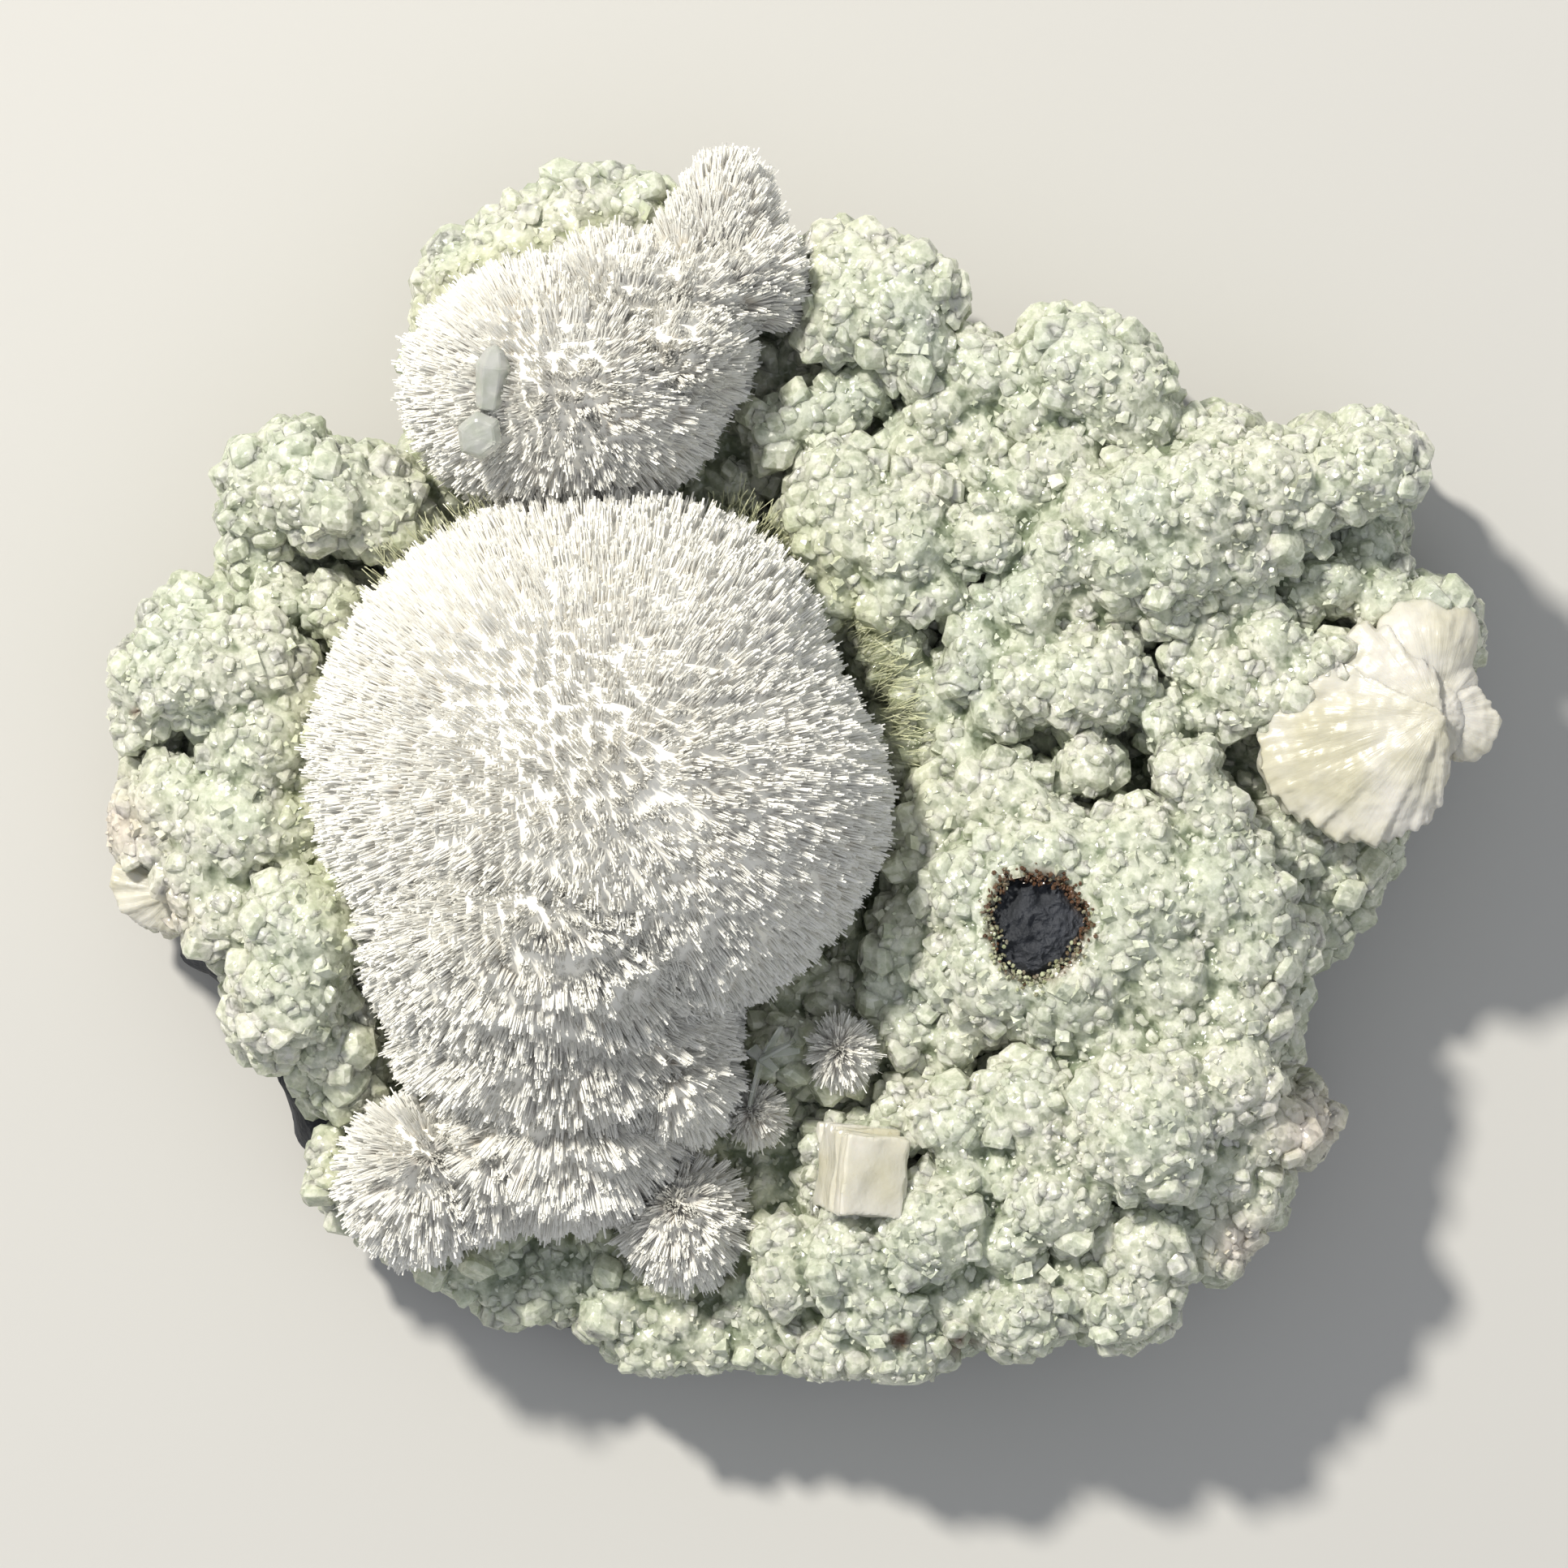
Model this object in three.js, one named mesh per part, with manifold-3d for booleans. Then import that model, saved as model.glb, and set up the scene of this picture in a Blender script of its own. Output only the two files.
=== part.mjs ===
// A hand-sized mineral specimen lying on its broken back: a slab of dark basalt, a knobbly crust of pale
// green calcite grown over it, and puffs of white mordenite needles standing on the crust, with a few
// cream stilbite crystals between them.
// Units are millimetres. X runs right and Y up in the plan, as the specimen is seen from above; +Z is up.
// The origin is the middle of the plan box, at the flat underside of the basalt.
import * as THREE from "three";
import { mergeVertices } from "three/addons/utils/BufferGeometryUtils.js";
import Module from "manifold-3d";

const wasm = await Module();
wasm.setup();

// Driving dimensions
const GAP = 0.35; // kept between two pieces that touch
const BASALT_TOP = 12;
const BASALT_CHAMFER = 3.5;
const CRUST_BOTTOM = 6.5; // the crust wraps the basalt's upper edge
const CRUST_BED = 17.5; // height of the crust between its lumps
const CRUST_RIM = 12.5; // and at its outline
const RIM_WIDTH = 3; // over which it rises from the one to the other
const BROW_RIM = 15; // no lump stands higher than this at the outline
const BROW_TOP = 38; // or than this BROW_WIDTH inside it
const BROW_WIDTH = 7;
const FACET = 3.5; // width of the small flat crystal faces that cover the crust
const FACET_RELIEF = 0.9; // how far they stand out and lie back
const LUMP_SKIRT = 1.3; // a lump's foot spreads to this many times its radius
const TUFT_DEPTH = 2.2; // how far the hollows between tufts lie under the needle tips
const PUFF_SEAT = 23; // height of the flat seat under the two large puffs
const SEAT_REACH = 0.88; // the seat's size as a share of the puff's
const WELD = 0.02; // corners of a cut solid closer than this are one
const ROOM_FACETS = 3; // the hollows that hold the puffs are faceted this finely
const ROOM_SLACK = 1.014; // and so much wider that their flat facets clear the puffs

// Colours of the five minerals
const COLOURS = {
  basalt: 0x2f2f33,
  calcite: 0xbfc8b4,
  mordenite: 0xf1efe9,
  stilbite: 0xe6dcc6,
  clear: 0xd5dad3,
};

// The plan outline of the calcite crust, clockwise from the knob at the top left
const crustOutline = [
  [-37, 45.5], [-36, 50], [-33, 52.5], [-27, 55], [-24, 58.5], [-21, 59.3], [-16, 58], [-10, 55],
  [-2, 52], [4.5, 53], [9, 51.5], [12, 50], [14.5, 47.5], [16, 43.5], [20.5, 41.5], [22.5, 41.5],
  [25.5, 44.5], [28, 44.8], [33, 42.5], [36, 38], [38.5, 34.3], [42, 34.8], [46, 32.5], [51, 31],
  [56.5, 34], [61, 31.5], [61.5, 28], [60.5, 24], [59, 21], [62, 17], [66, 16.5], [67.5, 11],
  [64, 2], [60, -5], [59.5, -10], [56, -15], [52.5, -19.5], [50.5, -22.5], [48, -28], [51, -33],
  [52, -37], [48, -43], [44.5, -49.5], [39, -51], [36, -55.5], [32, -57.5], [27, -56], [23, -57.7],
  [17.5, -57], [12.5, -61.7], [4, -62], [-1, -60], [-8, -60.5], [-13, -61.8], [-18, -58], [-24, -55.5],
  [-30, -55], [-33, -52], [-41, -49], [-45.5, -46.5], [-48.8, -42.5], [-48.3, -39], [-45.2, -37.2],
  [-45, -31.5], [-49.5, -30], [-54, -28], [-56.3, -22.5], [-58.5, -19], [-62.5, -16], [-66, -15.2],
  [-69.6, -9], [-69.7, -4], [-66.5, 0], [-62, 1.2], [-66, 3.5], [-69, 5], [-67.5, 11], [-62, 16],
  [-57, 19], [-57, 26], [-56, 31], [-50.5, 34], [-45, 31], [-40, 28.5], [-38, 36],
];

// The plan outline of the basalt slab, which shows beyond the crust along the lower left
const basaltOutline = [
  [-30, 49], [-18, 53], [2, 46], [12, 43], [20, 37], [34, 34], [50, 26], [55, 12], [54, -4],
  [46, -20], [44, -36], [37, -47], [24, -52], [8, -55], [-10, -57], [-24, -57.5], [-34, -54.5],
  [-46, -46], [-51, -38.5], [-52.6, -34], [-53.6, -29.5], [-57, -24], [-60, -21], [-63, -18.8], [-62, -8],
  [-58, 8], [-50, 22], [-38, 30], [-33, 40],
];

// The large lumps of the crust, region by region. Each is [x, y, height of its top, radius], with a
// second radius along Y where the lump is oval.
const lumps = {
  upperLeft: [
    [-32.5, 47.5, 31, 5.2], [-28, 50.5, 32, 5], [-22, 55, 31, 4.6], [-17, 55.3, 30, 3.5],
  ],
  leftArm: [
    [-50.5, 31.4, 33, 2.5], [-54, 29.3, 31, 2.9], [-47.5, 27, 35, 6.2, 4.3], [-42, 25.5, 33, 4.2],
    [-55, 25.4, 29, 2.3], [-54.3, 21.6, 26, 2.9], [-52.3, 16.5, 28, 2.8], [-46.5, 16, 29, 3],
  ],
  leftShoulder: [
    [-60.5, 13.6, 31, 4.6, 3.4], [-59.5, 9.4, 36, 7.6, 4.9], [-65, 8.3, 31, 3.4], [-66, 4.9, 28, 3],
    [-54, 10, 34.5, 4.3], [-53.5, 3, 34, 5.6], [-50, 6.5, 32, 3.6],
  ],
  leftFlank: [
    [-62.5, -3.5, 30, 4.5], [-66, -6, 27, 3.7], [-56, -5, 33, 5.6], [-51, -5.5, 31, 4.2],
    [-60, -9.5, 30, 4], [-57.3, -14, 30, 4.6], [-49.3, -16.5, 35, 5.7, 6.2], [-51, -22.3, 34, 5.5],
    [-53, -26, 29, 3.4], [-47.5, -27, 28, 4.2], [-46, -31, 24, 3.9],
  ],
  lowerRim: [
    [-46.8, -40.5, 23, 2.4], [-33, -50.3, 19, 3], [-29.5, -53, 18, 2.5], [-24.5, -51.5, 19, 4],
    [-19.5, -53.5, 18, 4], [-14.5, -58, 21, 3.8], [-9.5, -57.5, 21, 3.6], [-3.5, -57, 22, 3.3],
  ],
  lowerMiddle: [
    [-1.5, -50, 29, 2.9, 4.4], [5.3, -48.5, 32, 4.6], [12.7, -46, 34, 5.2], [20.6, -47.5, 31, 2.9],
    [7.8, -53.3, 30, 4.9], [3, -58.3, 26, 3.6], [10, -58, 27, 4.6], [16, -52.8, 28, 3.9],
    [22, -54.3, 30, 4.3], [16, -41, 31, 2.5], [20.2, -40.3, 31, 3], [15.3, -35.4, 33, 3.2],
    [10.5, -35, 29, 3],
  ],
  lowerRight: [
    [25.6, -42.6, 34, 5], [32.5, -53, 30, 4.7], [34.7, -48, 31, 4.2], [28, -50, 28, 3],
    [41, -46.4, 28, 4.2], [45.4, -43.6, 29, 2.4], [41.5, -40.2, 31, 4], [34, -35.3, 39, 7.3],
    [42.6, -31, 35, 4.6], [46.2, -36.6, 31, 4.2, 2.9], [23, -33.3, 35, 4.6], [24.2, -37.2, 34, 3],
  ],
  innerFoot: [
    [13.5, -20.8, 31, 2.3], [16, -27, 30, 2.4], [10.6, -26, 29, 2.7], [9.3, -21.6, 28, 2.8],
    [10.4, -16.8, 30, 2.6, 3.6], [14.5, -31, 27, 2.7],
  ],
  scarPlateau: [
    [19.8, -19.5, 36, 6.4], [26.5, -21, 36.5, 6.6], [24, -9, 36.5, 6.8, 5.2], [33, -13.5, 37.5, 7.4],
    [17, -12.3, 35, 4.6], [40.5, -12.5, 36, 5.2], [45.6, -13.3, 35, 2.7], [36.5, -20, 35, 4.8],
    [43.6, -18.4, 34, 4.6], [48, -17.8, 31, 3], [43.6, -24.3, 33, 4.2], [37.5, -25.5, 33, 4.3],
    [47.2, -22.4, 29, 3], [46.3, -27.2, 28, 2.8], [30.5, -27, 33, 4.2], [33.5, -8, 36, 4.3],
  ],
  middle: [
    [20.4, -3.4, 33, 5.6, 4.4], [13.8, -4.5, 31, 3.4], [12.3, -9.3, 30, 3.5], [28.7, 0, 32, 2.7],
    [16, 1.6, 29, 2.8], [11, 1, 26, 3.2], [36.2, 4.4, 31, 1.9, 2.6], [28.6, 8.8, 34.5, 5.8, 4.6],
    [22.4, 8.2, 33, 3.3], [19.4, 5.8, 31, 2.4], [17.2, 10.8, 31, 2.8], [13, 6.8, 28, 3.6],
    [9, 12, 28, 3.2], [22.7, 16.7, 33.5, 3], [23, 13.4, 32, 2.3], [18, 14.6, 30, 2.3],
  ],
  underStilbite: [
    [48.3, -7.5, 26, 3.4], [53.2, -10.3, 23, 4.6], [56.2, -9, 20, 3.6], [52.2, -15.6, 20, 3.4],
    [55, 1.5, 26, 6], [60.5, 6, 27, 5], [63, 13.5, 29, 4.2], [66, 13, 27, 2.4], [58.5, 16.5, 28, 3.4],
    [-63.5, -11.5, 23, 4],
  ],
  underTufts: [
    [4.3, -28.6, 25.5, 4.2], [-1.6, -28.4, 26, 3.6], [-4, -36, 22, 4], [-11.8, -45.6, 20, 6],
    [5.6, -40.4, 28, 5.2],
  ],
  centreRight: [
    [36.5, 16, 31.5, 2.4], [31.8, 16.4, 30, 2.5], [41.2, 14, 30, 2.7], [43.6, 17.6, 31, 2.6],
    [27.8, 17.4, 31, 2.7], [42.8, 9, 31, 2.6], [39, 10.4, 29, 2.3], [47, 12.4, 31.5, 2.7],
    [40.4, 5.4, 29, 2.4], [50.4, 17.6, 28, 2.1], [53.6, 18.5, 29.5, 2.1], [57, 21.5, 26, 3.2],
  ],
  innerRidge: [
    [4.8, 24.2, 33.5, 6], [9.6, 22.6, 34, 5.2], [4, 28.4, 33, 4], [11.4, 26, 33, 3.6],
    [9.5, 17.6, 32, 3.1], [13.6, 17.8, 31, 2.9], [4, 18.6, 30, 4], [18.4, 22.9, 33.5, 3.3],
  ],
  gulley: [
    [-3.5, 38.8, 22, 3.8], [3, 38.6, 24, 3.2], [12, 31.8, 30, 3.9], [13.9, 36, 32, 2.4],
    [17.6, 33, 31, 2.7], [18, 29.4, 30, 2.9], [22.6, 35.3, 33, 2.2], [25.6, 31.2, 33.5, 3.9, 3],
    [23, 28, 32, 3.1],
  ],
  topRidge: [
    [5, 48.7, 33, 4.6], [9.6, 46.3, 35.5, 5.4], [4.4, 45, 34, 4.1], [11.6, 42.2, 34, 3.7],
    [18, 39.4, 33, 3.2], [21.6, 39.3, 33, 2.4],
  ],
  upperRight: [
    [28, 39.8, 36.5, 5], [31.7, 37.7, 36, 4.9], [33.6, 34.6, 34, 3.7], [26, 42.6, 32, 2.5],
    [38, 31.7, 31.5, 3], [41.8, 31.4, 33, 3.5],
  ],
  longRidge: [
    [30, 25.4, 35.5, 4.2], [34.6, 26, 37.5, 4.9], [40.2, 26.6, 38.5, 5.2], [46, 28, 37.5, 5],
    [51.6, 28.6, 35.5, 3.8], [56.8, 30, 36.5, 4.3], [26.4, 21.8, 34.5, 3.5], [32, 21.4, 35.5, 4.6],
    [38.2, 21.4, 36, 5], [44.2, 22.2, 34.5, 4.6], [49.2, 24.6, 33, 3.5],
  ],
};

// Long fingers of crust: from [x, y, z] to [x, y, z], with a radius
const fingers = [
  { from: [38.6, -0.6, 35.5], to: [44.6, -10.6, 33.5], radius: 2.3, beads: 5 },
  { from: [-2.6, 33.6, 30.5], to: [6.6, 37.6, 29.5], radius: 2.2, beads: 5 },
  { from: [45.4, 6, 30.6], to: [52, 10.6, 31.2], radius: 2.3, beads: 4 },
];

// The bare scar where a crystal broke away and the basalt shows through
const scar = { at: [23.4, -15.8, 38.4], radii: [4.9, 5.5, 8] };
const knob = { at: [24, -16, 12], radii: [13, 12, 22.4] }; // of basalt, whose top is bare there

// Mordenite puffs. Each lobe is a ball of needles: [x, y, z] of its middle, its three radii to the needle
// tips, and how finely it is faceted.
const puffs = {
  main_puff: [
    { at: [-19.6, 0.2, 31], radii: [30, 28.2, 28], facets: 6 },
    { at: [-25, -15.5, 30], radii: [20, 18.5, 26], facets: 4 },
    { at: [-23.5, -26, 27], radii: [18.6, 13.5, 20.5], facets: 4 },
    { at: [-24, -36, 25], radii: [14.6, 12, 14.5], facets: 3 },
    { at: [-12.6, -31, 27], radii: [7.8, 8.2, 15], facets: 2 },
    { at: [-38, -41.2, 25], radii: [9.4, 9.4, 11.5], facets: 3 },
  ],
  upper_puff: [
    { at: [-23.4, 38, 29], radii: [17.2, 14.2, 19], facets: 3 },
    { at: [-10.5, 47.5, 30], radii: [8.4, 6.6, 12], facets: 2 },
    { at: [-7.2, 54.2, 29], radii: [6, 8.2, 9.5], facets: 2 },
    { at: [-1.3, 48.4, 29], radii: [4, 5.3, 8.5], facets: 1 },
  ],
  lower_puff: [{ at: [-11.8, -45.6, 22.5], radii: [7.4, 7.9, 9.5], facets: 2 }],
  side_puff: [{ at: [-4.2, -35, 24], radii: [3.5, 3.8, 6.5], facets: 1 }],
  small_tuft: [{ at: [4.3, -28.6, 26.5], radii: [4.1, 4.3, 5.5], facets: 2 }],
};
const SEATED_PUFFS = ["main_puff", "upper_puff"]; // these two are cut flat at PUFF_SEAT

// Stilbite sheaves. Blades fan from the waist: azimuth and tilt of each blade in degrees, then its length,
// width and thickness.
const stilbites = {
  stilbite_sheaf: {
    waist: [60.4, 5.8, 28.4],
    heart: [[54.6, 0.8, 28.6, 8.6, 6.8, 6], [58.8, 11.2, 27.6, 5.8, 5.6, 5.4]],
    blades: [
      [186, 12, 15, 4.4, 3], [204, 22, 15.8, 4.6, 3], [222, 20, 15.6, 4.6, 3], [240, 10, 14, 4.4, 3],
      [118, 16, 11, 5, 3], [86, 16, 10.6, 5, 3], [-10, 5, 9.4, 6.4, 3.4],
    ],
  },
  stilbite_edge: {
    waist: [-62.4, -12, 23],
    heart: [[-64.2, -12.6, 22.2, 4.4, 3.8, 4]],
    blades: [[180, 8, 7, 5, 3], [222, 6, 6.4, 4.6, 2.8]],
  },
};

// Single crystals
const block = { at: [6, -40.2, 29.4], size: [8.4, 8.6, 12], turn: [8, -13, -7] };
const puffCrystals = {
  puff_crystal_long: { at: [-30.2, 38.6, 45.2], length: 7.4, radius: 1.7, aim: [0.12, 1, 0.22] },
  puff_crystal_round: { at: [-31.3, 32.6, 43], length: 5.6, radius: 2.35, aim: [-0.1, -0.25, 1] },
};
const clearBlades = {
  at: [-3.4, -29.2, 29],
  blades: [[24, 20, 5.4, 1.7, 1.1], [66, 40, 5, 1.6, 1], [-18, 32, 4.6, 1.6, 1], [118, 62, 4.8, 1.7, 1]],
  stem: [2.3, 2, 5],
};

// A repeatable source of random numbers from 0 to 1
function randomSource(seed) {
  let state = seed;
  return () => {
    state = (state + 0x6d2b79f5) | 0;
    let mixed = Math.imul(state ^ (state >>> 15), 1 | state);
    mixed = (mixed + Math.imul(mixed ^ (mixed >>> 7), 61 | mixed)) ^ mixed;
    return ((mixed ^ (mixed >>> 14)) >>> 0) / 4294967296;
  };
}
const random = randomSource(20418);
const between = (low, high) => low + (high - low) * random();

// A geometry whose vertices are shared, so that it closes
function closed(geometry) {
  geometry.deleteAttribute("normal");
  geometry.deleteAttribute("uv");
  return mergeVertices(geometry, 1e-4);
}

// A closed geometry as a solid that can be joined and cut
function solid(geometry) {
  const whole = closed(geometry);
  return new wasm.Manifold(
    new wasm.Mesh({
      numProp: 3,
      vertProperties: new Float32Array(whole.attributes.position.array),
      triVerts: new Uint32Array(whole.index.array),
    }),
  );
}

const joined = (solids) => wasm.Manifold.union(solids);

// A geometry without the slivers that a cut leaves: corners closer than WELD become one, and the faces
// that collapse with them are dropped
function welded(geometry) {
  const whole = mergeVertices(geometry, WELD);
  const corners = Array.from(whole.index.array);
  const kept = [];
  for (let i = 0; i < corners.length; i += 3) {
    const face = corners.slice(i, i + 3);
    if (new Set(face).size === 3) kept.push(...face);
  }
  return whole.setIndex(kept);
}

// A joined solid as a named mesh of one mineral
function meshOf(name, body, mineral, roughness) {
  const { vertProperties, triVerts } = body.getMesh();
  const whole = new THREE.BufferGeometry()
    .setAttribute("position", new THREE.BufferAttribute(vertProperties, 3))
    .setIndex(new THREE.BufferAttribute(triVerts, 1));
  const geometry = welded(whole);
  geometry.computeVertexNormals();
  const material = new THREE.MeshStandardMaterial({ color: COLOURS[mineral], roughness, metalness: 0 });
  const mesh = new THREE.Mesh(geometry, material);
  mesh.name = name;
  return mesh;
}

// A ball with flat facets, a little uneven, like a rounded calcite crystal
function boulder([x, y, z], [rx, ry, rz], facets, unevenness) {
  const ball = closed(new THREE.IcosahedronGeometry(1, facets));
  const turn = new THREE.Matrix4().makeRotationFromEuler(
    new THREE.Euler(between(0, Math.PI), between(0, Math.PI), between(0, Math.PI)),
  );
  ball.applyMatrix4(turn);
  const point = new THREE.Vector3();
  const places = ball.attributes.position;
  for (let i = 0; i < places.count; i++) {
    point.fromBufferAttribute(places, i).multiplyScalar(1 - unevenness * random());
    places.setXYZ(i, x + point.x * rx, y + point.y * ry, z + point.z * rz);
  }
  return solid(ball);
}

// A long crystal with six sides and a blunt point at its far end, along the aim from its middle
function prism(at, radius, length, aim, sides = 6) {
  const half = length / 2;
  const profile = [[0, -half], [radius * 0.92, -half], [radius, half * 0.45], [radius * 0.45, half], [0, half]];
  const crystal = new THREE.LatheGeometry(profile.map(([r, h]) => new THREE.Vector2(r, h)), sides);
  const lean = new THREE.Quaternion().setFromUnitVectors(
    new THREE.Vector3(0, 1, 0),
    new THREE.Vector3(...aim).normalize(),
  );
  crystal.applyQuaternion(lean);
  crystal.translate(...at);
  return solid(crystal);
}

// A thin blade with a rounded far end, fanning from a waist
function blade(waist, [azimuth, tilt, length, width, thickness], grow = 0) {
  const half = width / 2 + grow;
  const outline = new THREE.Shape();
  outline.moveTo(-grow, -half * 0.45);
  outline.lineTo(length * 0.8, -half);
  outline.lineTo(length + grow, -half * 0.35);
  outline.lineTo(length + grow, half * 0.35);
  outline.lineTo(length * 0.8, half);
  outline.lineTo(-grow, half * 0.45);
  const depth = thickness + 2 * grow;
  const slab = new THREE.ExtrudeGeometry(outline, { depth, bevelEnabled: false });
  slab.translate(0, 0, -depth / 2);
  slab.rotateX(THREE.MathUtils.degToRad(azimuth * 7));
  slab.rotateY(THREE.MathUtils.degToRad(-tilt));
  slab.rotateZ(THREE.MathUtils.degToRad(azimuth));
  slab.translate(...waist);
  return solid(slab);
}

// A ball of needles: every third point or so stands out as a tuft and the others lie back between them.
// The plain ball that holds it, grown by a margin, is what its neighbours are cut with.
function needleBall({ at: [x, y, z], radii: [rx, ry, rz], facets }) {
  const ball = closed(new THREE.IcosahedronGeometry(1, facets));
  const point = new THREE.Vector3();
  const places = ball.attributes.position;
  const smallest = Math.min(rx, ry, rz);
  const depth = Math.min(TUFT_DEPTH, smallest * 0.22) / smallest;
  for (let i = 0; i < places.count; i++) {
    point.fromBufferAttribute(places, i);
    point.multiplyScalar(random() < 0.36 ? 1 : 1 - depth * between(0.6, 1));
    places.setXYZ(i, x + point.x * rx, y + point.y * ry, z + point.z * rz);
  }
  return solid(ball);
}

function plainBall({ at: [x, y, z], radii: [rx, ry, rz] }, grow) {
  const ball = closed(new THREE.IcosahedronGeometry(1, ROOM_FACETS));
  ball.scale(...[rx, ry, rz].map((radius) => (radius + grow) * ROOM_SLACK));
  ball.translate(x, y, z);
  return solid(ball);
}

// Everything below a height, as a slab to cut with
function below(height) {
  const slab = new THREE.BoxGeometry(200, 200, 100);
  slab.translate(0, 0, height - 50);
  return solid(slab);
}

function puffSolid(name, lobes) {
  const puff = joined(lobes.map(needleBall));
  return SEATED_PUFFS.includes(name) ? puff.subtract(below(PUFF_SEAT)) : puff;
}

function puffRoom(name, lobes) {
  const room = joined(lobes.map((lobe) => plainBall(lobe, GAP)));
  return SEATED_PUFFS.includes(name) ? room.subtract(below(PUFF_SEAT - GAP)) : room;
}

// Plan geometry: how far a point lies inside an outline, negative where it lies outside
function depthInside(outline, x, y) {
  const here = new THREE.Vector3(x, y, 0);
  const nearest = new THREE.Vector3();
  let inside = false;
  let distance = Infinity;
  outline.forEach(([x1, y1], i) => {
    const [x2, y2] = outline[(i + 1) % outline.length];
    if (y1 > y !== y2 > y && x < x1 + ((y - y1) * (x2 - x1)) / (y2 - y1)) inside = !inside;
    const edge = new THREE.Line3(new THREE.Vector3(x1, y1, 0), new THREE.Vector3(x2, y2, 0));
    distance = Math.min(distance, edge.closestPointToPoint(here, true, nearest).distanceTo(here));
  });
  return inside ? distance : -distance;
}

// The beads that a finger of crust is strung from, as lumps
function fingerLumps() {
  return fingers.flatMap(({ from, to, radius, beads }) =>
    Array.from({ length: beads + 1 }, (_, k) => {
      const bead = new THREE.Vector3(...from).lerp(new THREE.Vector3(...to), k / beads);
      return [bead.x, bead.y, bead.z, radius];
    }),
  );
}

// Height of the crust over a point in the plan: the highest of its lumps there. A lump is a ball down to
// its widest, and a steep skirt below that.
function crustHeight(allLumps, x, y) {
  const inside = Math.max(depthInside(crustOutline, x, y), 0);
  const brow = 1 - Math.min(inside / BROW_WIDTH, 1);
  const ceiling = BROW_RIM + (BROW_TOP - BROW_RIM) * Math.sqrt(1 - brow * brow);
  let height = CRUST_RIM + (CRUST_BED - CRUST_RIM) * Math.sqrt(Math.min(inside / RIM_WIDTH, 1));
  for (const [lumpX, lumpY, top, radius, radiusY = radius] of allLumps) {
    const out = Math.hypot((x - lumpX) / radius, (y - lumpY) / radiusY);
    if (out > LUMP_SKIRT) continue;
    const shoulder = top - radius;
    const dome = shoulder + radius * Math.sqrt(Math.max(0, 1 - out * out));
    const skirt = THREE.MathUtils.mapLinear(out, 1, LUMP_SKIRT, shoulder, CRUST_BED);
    height = Math.max(height, out < 1 ? dome : skirt);
  }
  for (const { at, radii } of SEATED_PUFFS.flatMap((name) => puffs[name])) {
    const out = Math.hypot((x - at[0]) / radii[0], (y - at[1]) / radii[1]);
    if (out < SEAT_REACH) height = Math.max(height, PUFF_SEAT + 1);
  }
  return Math.min(height, ceiling);
}

// The crust: a block whose top follows the lumps in small flat faces, cut to the outline
function crustSolid() {
  const width = 144;
  const depth = 130;
  const columns = Math.round(width / FACET);
  const rows = Math.round(depth / FACET);
  const field = closed(new THREE.BoxGeometry(width, depth, 1, columns, rows, 1));
  const allLumps = [...Object.values(lumps).flat(), ...fingerLumps()];
  const places = field.attributes.position;
  for (let i = 0; i < places.count; i++) {
    const row = Math.round((places.getY(i) + depth / 2) / (depth / rows));
    const x = places.getX(i) + (row % 2 ? FACET / 4 : -FACET / 4);
    const y = places.getY(i);
    if (places.getZ(i) < 0) {
      places.setXYZ(i, x, y, CRUST_BOTTOM);
      continue;
    }
    const movedX = x + between(-0.3, 0.3) * FACET;
    const movedY = y + between(-0.3, 0.3) * FACET;
    places.setXYZ(i, movedX, movedY, crustHeight(allLumps, movedX, movedY) - FACET_RELIEF * random());
  }
  const outline = new THREE.Shape(crustOutline.map(([x, y]) => new THREE.Vector2(x, y)));
  const around = new THREE.ExtrudeGeometry(outline, { depth: 60, bevelEnabled: false });
  return solid(field).intersect(solid(around));
}

// The basalt: a slab chamfered top and bottom, with broken sides and a flat underside, and the knob that
// rises from it to the scar
function basaltSolid(grow) {
  const outline = new THREE.Shape(
    basaltOutline.map(([x, y]) => {
      const inset = 1 - BASALT_CHAMFER / Math.hypot(x, y);
      return new THREE.Vector2(x * inset, y * inset);
    }),
  );
  const slab = closed(
    new THREE.ExtrudeGeometry(outline, {
      depth: BASALT_TOP - 2 * BASALT_CHAMFER,
      steps: 2,
      bevelThickness: BASALT_CHAMFER,
      bevelSize: BASALT_CHAMFER,
      bevelSegments: 2,
    }),
  );
  slab.translate(0, 0, BASALT_CHAMFER);
  const places = slab.attributes.position;
  const chips = randomSource(77);
  for (let i = 0; i < places.count; i++) {
    const chip = 1 - 0.015 * chips();
    places.setXY(i, places.getX(i) * chip, places.getY(i) * chip);
  }
  const wider = 1 + (grow * 2.4) / 100;
  slab.scale(wider, wider, 1 + grow / BASALT_TOP);
  const peak = closed(new THREE.IcosahedronGeometry(1, 2));
  peak.scale(...knob.radii.map((radius) => radius + grow));
  peak.translate(...knob.at);
  return solid(slab).add(solid(peak).subtract(below(1)));
}

function stilbiteSolid({ waist, heart, blades }, grow = 0) {
  const lobes = heart.map(([x, y, z, rx, ry, rz]) => {
    const lobe = closed(new THREE.IcosahedronGeometry(1, 1));
    lobe.scale(rx + grow, ry + grow, rz + grow);
    lobe.translate(x, y, z);
    return solid(lobe);
  });
  return joined([...lobes, ...blades.map((one) => blade(waist, one, grow))]);
}

function blockSolid(grow = 0) {
  const crystal = new THREE.BoxGeometry(...block.size.map((side) => side + 2 * grow));
  crystal.applyMatrix4(new THREE.Matrix4().makeRotationFromEuler(
    new THREE.Euler(...block.turn.map(THREE.MathUtils.degToRad)),
  ));
  crystal.translate(...block.at);
  return solid(crystal);
}

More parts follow.
